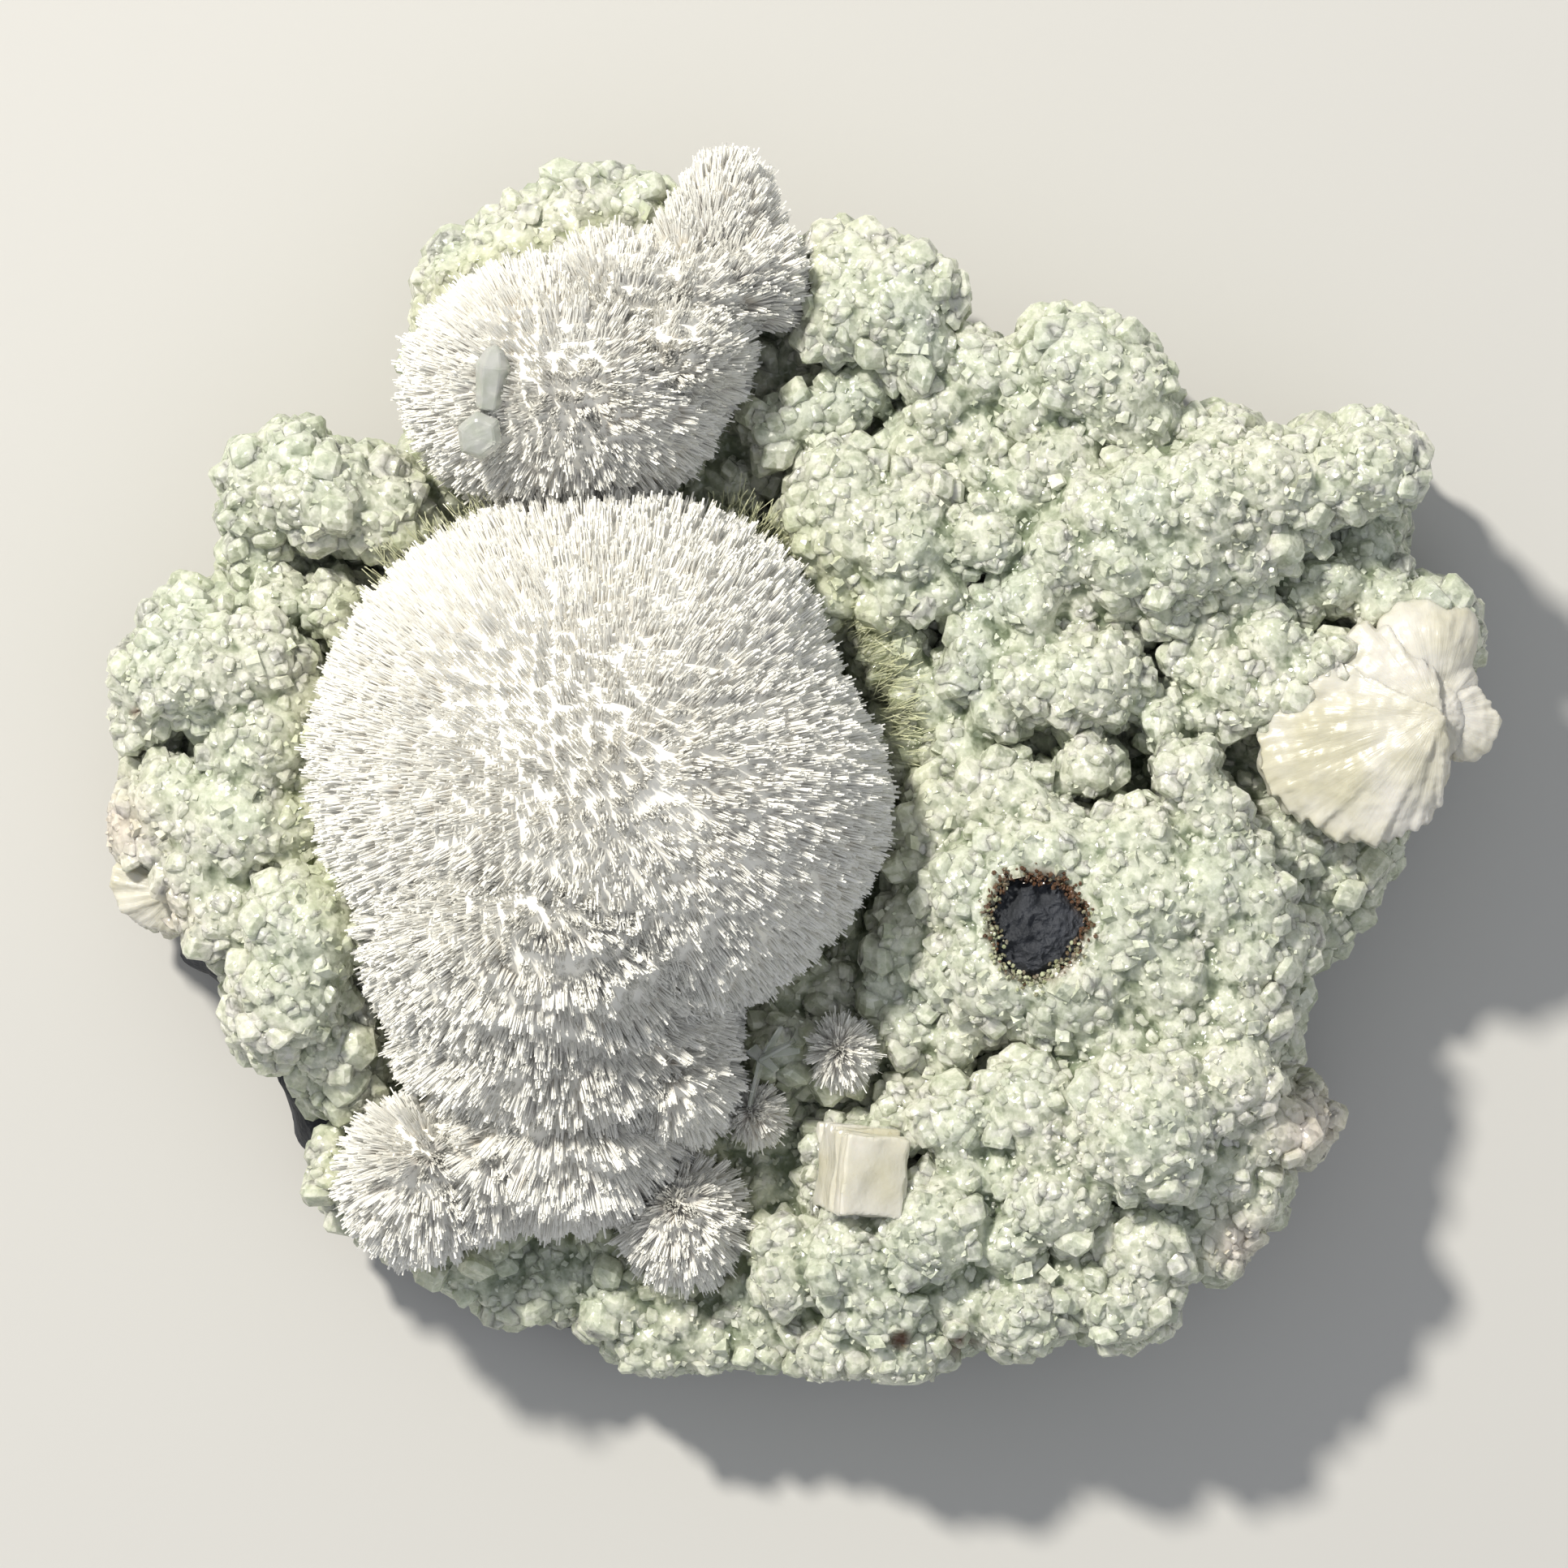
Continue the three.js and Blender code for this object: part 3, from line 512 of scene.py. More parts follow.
CRUST_OUTLINE = [
    (-37, 45.5), (-36, 50), (-33, 52.5), (-27, 55), (-24, 58.5), (-21, 59.3), (-16, 58), (-10, 55),
    (-2, 52), (4.5, 53), (9, 51.5), (12, 50), (14.5, 47.5), (16, 43.5), (20.5, 41.5), (22.5, 41.5),
    (25.5, 44.5), (28, 44.8), (33, 42.5), (36, 38), (38.5, 34.3), (42, 34.8), (46, 32.5), (51, 31),
    (56.5, 34), (61, 31.5), (61.5, 28), (60.5, 24), (59, 21), (62, 17), (66, 16.5), (67.5, 11),
    (64, 2), (60, -5), (59.5, -10), (56, -15), (52.5, -19.5), (50.5, -22.5), (48, -28), (51, -33),
    (52, -37), (48, -43), (44.5, -49.5), (39, -51), (36, -55.5), (32, -57.5), (27, -56), (23, -57.7),
    (17.5, -57), (12.5, -61.7), (4, -62), (-1, -60), (-8, -60.5), (-13, -61.8), (-18, -58), (-24, -55.5),
    (-30, -55), (-33, -52), (-41, -49), (-45.5, -46.5), (-48.8, -42.5), (-48.3, -39), (-45.2, -37.2),
    (-45, -31.5), (-49.5, -30), (-54, -28), (-56.3, -22.5), (-58.5, -19), (-62.5, -16), (-66, -15.2),
    (-69.6, -9), (-69.7, -4), (-66.5, 0), (-62, 1.2), (-66, 3.5), (-69, 5), (-67.5, 11), (-62, 16),
    (-57, 19), (-57, 26), (-56, 31), (-50.5, 34), (-45, 31), (-40, 28.5), (-38, 36),
]

# Each lump is (x, y, height of its top, radius), with a second radius along y where it is oval
LUMPS = {
    "upper_left": [
        (-32.5, 47.5, 31, 5.2), (-28, 50.5, 32, 5), (-22, 55, 31, 4.6), (-17, 55.3, 30, 3.5),
    ],
    "left_arm": [
        (-50.5, 31.4, 33, 2.5), (-54, 29.3, 31, 2.9), (-47.5, 27, 35, 6.2, 4.3), (-42, 25.5, 33, 4.2),
        (-55, 25.4, 29, 2.3), (-54.3, 21.6, 26, 2.9), (-52.3, 16.5, 28, 2.8), (-46.5, 16, 29, 3),
    ],
    "left_shoulder": [
        (-60.5, 13.6, 31, 4.6, 3.4), (-59.5, 9.4, 36, 7.6, 4.9), (-65, 8.3, 31, 3.4), (-66, 4.9, 28, 3),
        (-54, 10, 34.5, 4.3), (-53.5, 3, 34, 5.6), (-50, 6.5, 32, 3.6),
    ],
    "left_flank": [
        (-62.5, -3.5, 30, 4.5), (-66, -6, 27, 3.7), (-56, -5, 33, 5.6), (-51, -5.5, 31, 4.2),
        (-60, -9.5, 30, 4), (-57.3, -14, 30, 4.6), (-49.3, -16.5, 35, 5.7, 6.2), (-51, -22.3, 34, 5.5),
        (-53, -26, 29, 3.4), (-47.5, -27, 28, 4.2), (-46, -31, 24, 3.9),
    ],
    "lower_rim": [
        (-46.8, -40.5, 23, 2.4), (-33, -50.3, 19, 3), (-29.5, -53, 18, 2.5), (-24.5, -51.5, 19, 4),
        (-19.5, -53.5, 18, 4), (-14.5, -58, 21, 3.8), (-9.5, -57.5, 21, 3.6), (-3.5, -57, 22, 3.3),
    ],
    "lower_middle": [
        (-1.5, -50, 29, 2.9, 4.4), (5.3, -48.5, 32, 4.6), (12.7, -46, 34, 5.2), (20.6, -47.5, 31, 2.9),
        (7.8, -53.3, 30, 4.9), (3, -58.3, 26, 3.6), (10, -58, 27, 4.6), (16, -52.8, 28, 3.9),
        (22, -54.3, 30, 4.3), (16, -41, 31, 2.5), (20.2, -40.3, 31, 3), (15.3, -35.4, 33, 3.2),
        (10.5, -35, 29, 3),
    ],
    "lower_right": [
        (25.6, -42.6, 34, 5), (32.5, -53, 30, 4.7), (34.7, -48, 31, 4.2), (28, -50, 28, 3),
        (41, -46.4, 28, 4.2), (45.4, -43.6, 29, 2.4), (41.5, -40.2, 31, 4), (34, -35.3, 39, 7.3),
        (42.6, -31, 35, 4.6), (46.2, -36.6, 31, 4.2, 2.9), (23, -33.3, 35, 4.6), (24.2, -37.2, 34, 3),
    ],
    "inner_foot": [
        (13.5, -20.8, 31, 2.3), (16, -27, 30, 2.4), (10.6, -26, 29, 2.7), (9.3, -21.6, 28, 2.8),
        (10.4, -16.8, 30, 2.6, 3.6), (14.5, -31, 27, 2.7),
    ],
    "scar_plateau": [
        (19.8, -19.5, 36, 6.4), (26.5, -21, 36.5, 6.6), (24, -9, 36.5, 6.8, 5.2), (33, -13.5, 37.5, 7.4),
        (17, -12.3, 35, 4.6), (40.5, -12.5, 36, 5.2), (45.6, -13.3, 35, 2.7), (36.5, -20, 35, 4.8),
        (43.6, -18.4, 34, 4.6), (48, -17.8, 31, 3), (43.6, -24.3, 33, 4.2), (37.5, -25.5, 33, 4.3),
        (47.2, -22.4, 29, 3), (46.3, -27.2, 28, 2.8), (30.5, -27, 33, 4.2), (33.5, -8, 36, 4.3),
    ],
    "middle": [
        (20.4, -3.4, 33, 5.6, 4.4), (13.8, -4.5, 31, 3.4), (12.3, -9.3, 30, 3.5), (28.7, 0, 32, 2.7),
        (16, 1.6, 29, 2.8), (11, 1, 26, 3.2), (36.2, 4.4, 31, 1.9, 2.6), (28.6, 8.8, 34.5, 5.8, 4.6),
        (22.4, 8.2, 33, 3.3), (19.4, 5.8, 31, 2.4), (17.2, 10.8, 31, 2.8), (13, 6.8, 28, 3.6),
        (9, 12, 28, 3.2), (22.7, 16.7, 33.5, 3), (23, 13.4, 32, 2.3), (18, 14.6, 30, 2.3),
    ],
    "under_stilbite": [
        (48.3, -7.5, 26, 3.4), (53.2, -10.3, 23, 4.6), (56.2, -9, 20, 3.6), (52.2, -15.6, 20, 3.4),
        (55, 1.5, 26, 6), (60.5, 6, 27, 5), (63, 13.5, 29, 4.2), (66, 13, 27, 2.4),
        (58.5, 16.5, 28, 3.4), (-63.5, -11.5, 23, 4),
    ],
    "under_tufts": [
        (4.3, -28.6, 25.5, 4.2), (-1.6, -28.4, 26, 3.6), (-4, -36, 22, 4), (-11.8, -45.6, 20, 6),
        (5.6, -40.4, 28, 5.2),
    ],
    "centre_right": [
        (36.5, 16, 31.5, 2.4), (31.8, 16.4, 30, 2.5), (41.2, 14, 30, 2.7), (43.6, 17.6, 31, 2.6),
        (27.8, 17.4, 31, 2.7), (42.8, 9, 31, 2.6), (39, 10.4, 29, 2.3), (47, 12.4, 31.5, 2.7),
        (40.4, 5.4, 29, 2.4), (50.4, 17.6, 28, 2.1), (53.6, 18.5, 29.5, 2.1), (57, 21.5, 26, 3.2),
    ],
    "inner_ridge": [
        (4.8, 24.2, 33.5, 6), (9.6, 22.6, 34, 5.2), (4, 28.4, 33, 4), (11.4, 26, 33, 3.6),
        (9.5, 17.6, 32, 3.1), (13.6, 17.8, 31, 2.9), (4, 18.6, 30, 4), (18.4, 22.9, 33.5, 3.3),
    ],
    "gulley": [
        (-3.5, 38.8, 22, 3.8), (3, 38.6, 24, 3.2), (12, 31.8, 30, 3.9), (13.9, 36, 32, 2.4),
        (17.6, 33, 31, 2.7), (18, 29.4, 30, 2.9), (22.6, 35.3, 33, 2.2), (25.6, 31.2, 33.5, 3.9, 3),
        (23, 28, 32, 3.1),
    ],
    "top_ridge": [
        (5, 48.7, 33, 4.6), (9.6, 46.3, 35.5, 5.4), (4.4, 45, 34, 4.1), (11.6, 42.2, 34, 3.7),
        (18, 39.4, 33, 3.2), (21.6, 39.3, 33, 2.4),
    ],
    "upper_right": [
        (28, 39.8, 36.5, 5), (31.7, 37.7, 36, 4.9), (33.6, 34.6, 34, 3.7), (26, 42.6, 32, 2.5),
        (38, 31.7, 31.5, 3), (41.8, 31.4, 33, 3.5),
    ],
    "long_ridge": [
        (30, 25.4, 35.5, 4.2), (34.6, 26, 37.5, 4.9), (40.2, 26.6, 38.5, 5.2), (46, 28, 37.5, 5),
        (51.6, 28.6, 35.5, 3.8), (56.8, 30, 36.5, 4.3), (26.4, 21.8, 34.5, 3.5), (32, 21.4, 35.5, 4.6),
        (38.2, 21.4, 36, 5), (44.2, 22.2, 34.5, 4.6), (49.2, 24.6, 33, 3.5),
    ],
}

# Fingers of crust: from, to, radius and how many balls they are strung from
FINGERS = [
    ((38.6, -0.6, 35.5), (44.6, -10.6, 33.5), 2.3, 8),
    ((-2.6, 33.6, 30.5), (6.6, 37.6, 29.5), 2.2, 8),
    ((45.4, 6, 30.6), (52, 10.6, 31.2), 2.3, 6),
]
SCAR = ((23.25, -15.9), (4.6, 5.1))  # middle and radii of the bare patch
print("lumps", sum(len(group) for group in LUMPS.values()))

# %% [markdown]
# ## Where the puffs lie
# The puffs are laid out before the crust gets its crystals, because none are needed below them. Each puff
# is a few overlapping ellipsoids, its lobes, which give its outline out to the tips of the needles.

# %% Where the puffs lie
# Each lobe is (middle, radii out to the needle tips, point that its needles radiate from)
PUFFS = {
    "main_puff": [
        ((-19.6, 0.2, 31), (30, 28.2, 28), (-19.6, -1.5, 40)),
        ((-25, -15.5, 30), (20, 18.5, 26), (-24.5, -11, 38)),
        ((-23.5, -26, 27), (18.6, 13.5, 20.5), (-23.5, -20, 34)),
        ((-24, -36, 25), (14.6, 12, 14.5), (-23.5, -30, 30)),
        ((-12.6, -31, 27), (7.8, 8.2, 15), (-14.5, -28, 32)),
        ((-38, -41.2, 25), (9.2, 9.6, 11.5), (-36.5, -38, 28)),
        ((-31.5, -39.5, 25), (7, 9.2, 12.5), (-29, -35, 28)),
    ],
    "upper_puff": [
        ((-23.4, 38, 29), (17.2, 14.2, 19), (-23, 36, 36)),
        ((-10.5, 47.5, 30), (8.4, 6.6, 12), (-15.5, 41.5, 29)),
        ((-7.2, 54.2, 29), (6, 8.2, 9.5), (-12, 41, 27)),
        ((-1.3, 48.4, 29), (3.4, 5.3, 8.5), (-13, 44, 27)),
        ((-11.3, 51.3, 29), (4.2, 6.5, 10), (-12.5, 40, 27)),
        ((-4.5, 49.5, 30), (6, 6, 10.5), (-13, 42, 27)),
        ((-17.5, 46.5, 29), (9.6, 8.2, 15), (-19, 39, 30)),
        ((-12.5, 41.5, 29), (9, 8.5, 16), (-16, 38, 31)),
    ],
    "lower_puff": [((-11.8, -45.6, 22.5), (7.4, 7.9, 9.5), (-12.4, -43, 25))],
    "side_puff": [((-4.2, -35, 24), (3.5, 3.8, 6.5), (-5.4, -34, 25))],
    "small_tuft": [((4.3, -28.6, 26.5), (4.1, 4.3, 5.5), (3.6, -28, 27.5))],
}


def lobe_arrays(lobes):
    """The lobes' middles and radii as two arrays."""
    middles = np.array([lobe[0] for lobe in lobes], float)
    middles[:, :2] += SHIFT
    return middles, np.array([lobe[1] for lobe in lobes], float)


ALL_MIDDLES, ALL_RADII = lobe_arrays([lobe for lobes in PUFFS.values() for lobe in lobes])


def inside_puffs(points, share):
    """Which points lie inside any lobe drawn at this share of its size."""
    hidden = np.zeros(len(points), bool)
    for middle, radii in zip(ALL_MIDDLES, ALL_RADII):
        hidden |= (((points - middle) / (radii * share)) ** 2).sum(1) < 1
    return hidden


print("lobes", len(ALL_MIDDLES))

# %% [markdown]
# ## The skin of the crust
# The plate under the lumps is the plan outline pulled up in two steps, the second drawn in a little, so its
# rim is stepped. Each lump is a ball, with a column under it that joins it to the plate. Smaller lumps go
# all over the bed first, because the hollows between the great lumps aren't flat on the real piece either.

# %% Plate and small lumps
BED_SPACING = 4.2
BED_WANDER = 1.6  # how far a small lump strays from an even grid
BED_TOPS = (18.5, 23.5)
BED_RADII = (2.2, 3.5)
BED_KEEP_IN = 1.035  # a small lump has to lie this much inside the outline
BED_INSET = 0.95  # the bed's outline is this share of the rim's


def inside_outline(points, outline):
    """Which points lie inside a plan outline, by counting the edges to their right."""
    inside = np.zeros(len(points), bool)
    corners = np.array(outline) + SHIFT
    for (x0, y0), (x1, y1) in zip(corners, np.roll(corners, -1, axis=0)):
        crosses = (y0 > points[:, 1]) != (y1 > points[:, 1])
        at = x0 + (points[:, 1] - y0) * (x1 - x0) / (y1 - y0 if y1 != y0 else 1.0)
        inside ^= crosses & (points[:, 0] < at)
    return inside


def bed_lumps():
    columns, rows = np.arange(-68, 68, BED_SPACING), np.arange(-60, 60, BED_SPACING)
    grid = np.stack(np.meshgrid(columns, rows), axis=-1).reshape(-1, 2)
    grid += rng.uniform(-BED_WANDER, BED_WANDER, grid.shape)
    grid = grid[inside_outline(grid * BED_KEEP_IN, CRUST_OUTLINE)]
    return [(x, y, rng.uniform(*BED_TOPS), rng.uniform(*BED_RADII)) for x, y in grid]


def crust_plate():
    shape = bmesh.new()
    rim = [shape.verts.new((x + SHIFT[0], y + SHIFT[1], BOTTOM)) for x, y in reversed(CRUST_OUTLINE)]
    top = [shape.faces.new(rim)]
    for rise, width in ((RIM - BOTTOM, 1), (BED - RIM, BED_INSET)):
        raised = bmesh.ops.extrude_face_region(shape, geom=top)["geom"]
        corners = [g for g in raised if isinstance(g, bmesh.types.BMVert)]
        bmesh.ops.scale(shape, verts=corners, vec=(width, width, 1))
        bmesh.ops.translate(shape, verts=corners, vec=(0, 0, rise))
        top = [g for g in raised if isinstance(g, bmesh.types.BMFace)]
    bmesh.ops.triangulate(shape, faces=shape.faces[:])
    bmesh.ops.recalc_face_normals(shape, faces=shape.faces[:])
    return shape


# %% [markdown]
# The great lumps and the fingers are balls too, and all of them go in at once as copies of one template.
# The draft is remeshed with large voxels, because crystals only need it as a place to stand on.

# %% Balls and columns on the plate
COARSE = 0.9  # voxel size of the draft that the crystals are placed on
LUMP_FOOT = 11.0
FINGER_FOOT = 18.0


def lump_balls():
    """A row for each ball: its middle, its three radii and the height of its foot."""
    balls = []
    for x, y, peak, radius, *other in [lump for group in LUMPS.values() for lump in group] + bed_lumps():
        balls.append((x, y, peak - radius, radius, other[0] if other else radius, radius, LUMP_FOOT))
    for start, end, radius, count in FINGERS:
        for k in range(count):
            x, y, z = Vector(start).lerp(Vector(end), k / (count - 1))
            balls.append((x, y, z - radius, radius, radius, radius, FINGER_FOOT))
    balls = np.array(balls)
    balls[:, :2] += SHIFT
    return balls


def crust_skin():
    shape = crust_plate()
    balls = lump_balls()
    strew_upright(shape, ball_template(3), balls[:, :3], balls[:, 3:6])
    column = bmesh.new()
    bmesh.ops.create_cone(column, cap_ends=True, cap_tris=True, segments=20, radius1=1, radius2=1, depth=1)
    middles = balls[:, :3].copy()
    middles[:, 2] = (balls[:, 2] + balls[:, 6]) / 2
    heights = np.maximum(balls[:, 2] - balls[:, 6], 1)
    sizes = np.stack([balls[:, 3], balls[:, 4], heights], axis=1)
    strew_upright(shape, triangulated(column), middles, sizes)
    return remeshed(shape, COARSE)


draft = crust_skin()
print("crust draft", len(draft.polygons), "faces")

# %% [markdown]
# ## Where crystals stand
# Random places are taken evenly over the skin, and those that no one sees are left out: under the puffs,
# on the underside and in the scar. Small crystals stand everywhere. Larger ones crowd on the flanks and in
# the hollows, where the druse had more room to grow.

# %% Places on the crust
UNDERSIDE = 8  # no crystals stand below this height
HOLLOWS_BELOW = 30.0  # large crystals grow more common below this height
FLANK_BELOW = 0.72  # and where the skin's normal points up by less than this
PATCH_WIDTH = 9.0
PATCH_SEED = Vector((4, 9, 2))


def surface_samples(mesh, count):
    """Random places on a mesh with the normals there, evenly by area."""
    mesh.calc_loop_triangles()
    corners = np.zeros(len(mesh.loop_triangles) * 3, np.int32)
    mesh.loop_triangles.foreach_get("vertices", corners)
    a, b, c = (mesh_points(mesh)[corners.reshape(-1, 3)[:, k]] for k in range(3))
    cross = np.cross(b - a, c - a)
    area = np.linalg.norm(cross, axis=1)
    pick = rng.choice(len(area), count, p=area / area.sum())
    u, v = rng.random((2, count, 1))
    flip = (u + v) > 1
    u, v = np.where(flip, 1 - u, u), np.where(flip, 1 - v, v)
    return a[pick] + (b - a)[pick] * u + (c - a)[pick] * v, cross[pick] / area[pick][:, None]


def scar_distance(points):
    """How far points are from the scar's middle: 1 is its edge."""
    (x, y), (radius_x, radius_y) = SCAR
    return np.hypot((points[:, 0] - x) / radius_x, (points[:, 1] - y) / radius_y)


def in_sight(spots, ups, least_up, puff_share, scar_share):
    """The samples that face up enough and lie outside the puffs and the scar."""
    shown = (ups[:, 2] > least_up) & (spots[:, 2] > UNDERSIDE) & ~inside_puffs(spots, puff_share)
    shown &= scar_distance(spots) > scar_share
    return spots[shown], ups[shown]


def crowding(spots, ups):
    """From 0 where no large crystals stand to 1 where they crowd."""
    patchy = np.array([noise.noise(Vector(p) / PATCH_WIDTH + PATCH_SEED) for p in spots])
    low = np.clip((HOLLOWS_BELOW - spots[:, 2]) / 6.0, 0, 1)
    steep = (FLANK_BELOW - ups[:, 2]) / 0.35
    return np.clip(steep + 0.9 * low + 0.8 * patchy - 0.3, 0, 1)


spots, ups = in_sight(*surface_samples(draft, 220000), least_up=-0.3, puff_share=0.8, scar_share=1.5)
crowd = crowding(spots, ups)
everywhere = np.ones(len(spots))
print("places", len(spots))

# %% [markdown]
# ## The druse, as one skin
# Grains too small to be crystals of their own are balls that melt into the skin in a second, finer remesh.
# The crystals are kept apart from it, because their flat faces would be rounded off.

# %% Grains and crystals
# spacing, smallest and largest radius, how far it stands out, share that is kept
GRAINS = ((1.1, 0.38, 0.62, 0.5, 0.85), (2.8, 1.3, 2.0, 0.12, 0.8))
SMALL_CRYSTALS = (1.9, 0.65, 1.1, 0.5, 0.5)
LARGE_CRYSTALS = ((2.9, 1.1, 1.6, 0.75, 0.7), (4.4, 1.6, 2.2, 0.7, 0.6))
FINE = 0.5
EDGE_ROOM = 1.4  # crystals keep this many radii from the sides of the solid model's box


def crystal_places(spots, ups, crowd, spacing, least, most, stand, share):
    """Where crystals of one grade stand, how they are turned and how large they are."""
    keep = one_per_cell(spots + spacing * 0.3, spacing)
    keep = keep[rng.random(len(keep)) < share * crowd[keep]]
    at, up = spots[keep], ups[keep]
    radius = rng.uniform(least, most, (len(keep), 1))
    sizes = radius * rng.uniform(0.82, 1.15, (len(keep), 3))
    lean = up + rng.normal(0, 0.3, up.shape)
    turns = turns_to(lean, rng.uniform(0, 6.28, len(keep)))
    middle = at + up * radius * (stand - 0.6)
    room = EDGE_ROOM * radius
    middle[:, :2] = np.clip(middle[:, :2], LOW[:2] + room, HIGH[:2] - room)
    return middle, turns, sizes


grown = bmesh.new()
grown.from_mesh(draft)
bpy.data.meshes.remove(draft)
for grade in GRAINS:
    ball = ball_template(1)
    strewn = strew("grade", ball, *crystal_places(spots, ups, everywhere, *grade))
    grown.from_mesh(strewn)
    bpy.data.meshes.remove(strewn)
    ball.free()
graded = [crystal_places(spots, ups, everywhere, *SMALL_CRYSTALS)]
graded += [crystal_places(spots, ups, crowd, *row) for row in LARGE_CRYSTALS]
crystals = [np.concatenate(rows) for rows in zip(*graded)]
skin = remeshed(grown, FINE)
print("crystals", len(crystals[0]), "skin", len(skin.polygons), "faces")

# %% [markdown]
# ## The scar
# A chip of crust broke away here and left a shallow pit with a ragged edge. The skin's points inside that
# edge are pushed down to the stone, and the ones just outside are drawn to one height. Three sine waves
# round the edge make it ragged.

# %% Press in the scar
(scar_x, scar_y), (scar_rx, scar_ry) = SCAR
EDGE_WAVES = ((0.07, 3, 1), (0.05, 7, 0), (0.03, 13, 2))  # height, count and start of each wave
PIT_FLOOR = 33.0
EDGE_HEIGHT = 35.6
EDGE_WIDTH = 1.35
SCAR_ABOVE = 30  # only points above this height belong to it


def ragged(angle, waves):
    return sum((height * np.sin(count * angle + start) for height, count, start in waves), start=1)


points = mesh_points(skin)
angle = np.arctan2(points[:, 1] - scar_y, points[:, 0] - scar_x)
out = scar_distance(points) / ragged(angle, EDGE_WAVES)
above = points[:, 2] > SCAR_ABOVE
points[(out < 1) & above, 2] = PIT_FLOOR
edge = (out >= 1) & (out < EDGE_WIDTH) & above
points[edge, 2] = points[edge, 2] * 0.4 + EDGE_HEIGHT * 0.6
move_points(skin, np.clip(points, LOW, HIGH))
skin.update()
print("points round the scar", edge.sum())

# %% [markdown]
# ## Colour on the crust
# The crust's stains are colour only, so they are stored at its points and not modelled: rust round the
# scar and in three spots, yellow-green where the puffs' fibres reach the crust, and pink at the rim.
# How far each point stands proud of its neighbours is stored too, for painted shade in the creases.

# %% Stains
RUST_SPOTS = ((10, -57.2, 1.1), (16, -57.5, 0.7), (-66.2, 5.3, 0.6))  # x, y, radius
PINK_RIMS = ((51.5, -36, 4.5), (-69, -6, 4.5), (-64, -15, 3.0), (44, -48, 3.0))


def stain_colours(points):
    """Shares of rust, yellow-green and pink at each point."""
    wobble = np.array([noise.noise(Vector(p) / 1.3) for p in points])
    ring = (scar_distance(points) - 1.0 + 0.12 * wobble) / 0.07
    rust = 0.7 * np.exp(-(ring**2)) * (points[:, 2] > SCAR_ABOVE)
    for x, y, width in RUST_SPOTS:
        away = np.hypot(points[:, 0] - x - SHIFT[0], points[:, 1] - y - SHIFT[1])
        rust = np.maximum(rust, np.exp(-((away / width) ** 4)))
    near = np.full(len(points), 9.0)
    for middle, radii in zip(ALL_MIDDLES, ALL_RADII):
        near = np.minimum(near, np.linalg.norm((points - middle) / radii, axis=1))
    yellow = np.exp(-(((near - 1.0) / 0.1) ** 2)) * 0.35
    pink = np.zeros(len(points))
    for x, y, width in PINK_RIMS:
        away = np.hypot(points[:, 0] - x, points[:, 1] - y)
        pink = np.maximum(pink, 0.6 * np.exp(-((away / width) ** 2)))
    return np.stack([rust, yellow, pink, np.ones(len(points))], axis=1)


def store_stain(mesh, colours):
    layer = mesh.color_attributes.new(STAIN, "FLOAT_COLOR", "POINT")
    layer.data.foreach_set("color", np.clip(colours, 0, 1).astype(np.float32).ravel())


def stain_crust(mesh):
    store_stain(mesh, stain_colours(mesh_points(mesh)))


# %% [markdown]
# A point stands proud if it lies further out than its neighbours' mean. That mean comes from averaging the
# points a few times along the mesh's edges, so it reaches a few faces out.

# %% Painted shade in creases and hollows
SMOOTHINGS = 4
PROUD = 0.4  # a point this far above its neighbours is a crystal's edge, in millimetres


def painted_hollow_shade(heights):
    """Painted shade: 1 on the tops of the lumps, less in the hollows, where little light comes out of the
    crystals.
    """
    return 0.55 + 0.45 * np.clip((heights - 21) / 10, 0, 1)


def store_painted_crease_shade(mesh):
    """Stores how far each point stands proud of its neighbours' mean, darkened in the hollows, as painted
    shade in the creases.
    """
    points = mesh_points(mesh).astype(float)
    ends = np.zeros(len(mesh.edges) * 2, np.int32)
    mesh.edges.foreach_get("vertices", ends)
    a, b = ends.reshape(-1, 2).T
    links = np.maximum(np.bincount(np.concatenate([a, b]), minlength=len(points)), 1)[:, None]
    smooth = points
    for _ in range(SMOOTHINGS):
        sums = [np.bincount(a, smooth[b, k], len(points)) + np.bincount(b, smooth[a, k], len(points))
                for k in range(3)]
        smooth = np.stack(sums, axis=1) / links
    proud = ((points - smooth) * mesh_normals(mesh)).sum(1)
    store(mesh, PAINTED_SHADE_AND_TONE, np.clip(0.5 + proud / PROUD, 0, 1) * painted_hollow_shade(points[:, 2]))


# %% [markdown]
# ## Crystals of the druse
# Calcite crystals are rhombs: leaning six-sided blocks. Here each is a sheared cube with its edges cut
# back, half sunk in the skin. A piece may have at most 200,000 triangles, so there is a west and an east
# piece, with half of the crystals each.

# %% Rhombs
RHOMB_LEAN = (0.3, 0.2)
RHOMB_TURN = 0.9


def rhomb_template(size, edge):
    rhomb = bmesh.new()
    bmesh.ops.create_cube(rhomb, size=size)
    bmesh.ops.transform(rhomb, verts=rhomb.verts[:], matrix=Matrix.Shear("XY", 4, RHOMB_LEAN))
    bmesh.ops.rotate(rhomb, verts=rhomb.verts[:], matrix=Matrix.Rotation(RHOMB_TURN, 3, (1, 1, 0)))
    if edge:
        bevelled(rhomb, edge)
    return triangulated(rhomb)


def west_and_east(places):
    """The places' numbers in two halves, from west to east."""
    order = np.argsort(places[:, 0])
    half_way = len(order) // 2
    return ("west", order[:half_way]), ("east", order[half_way:])


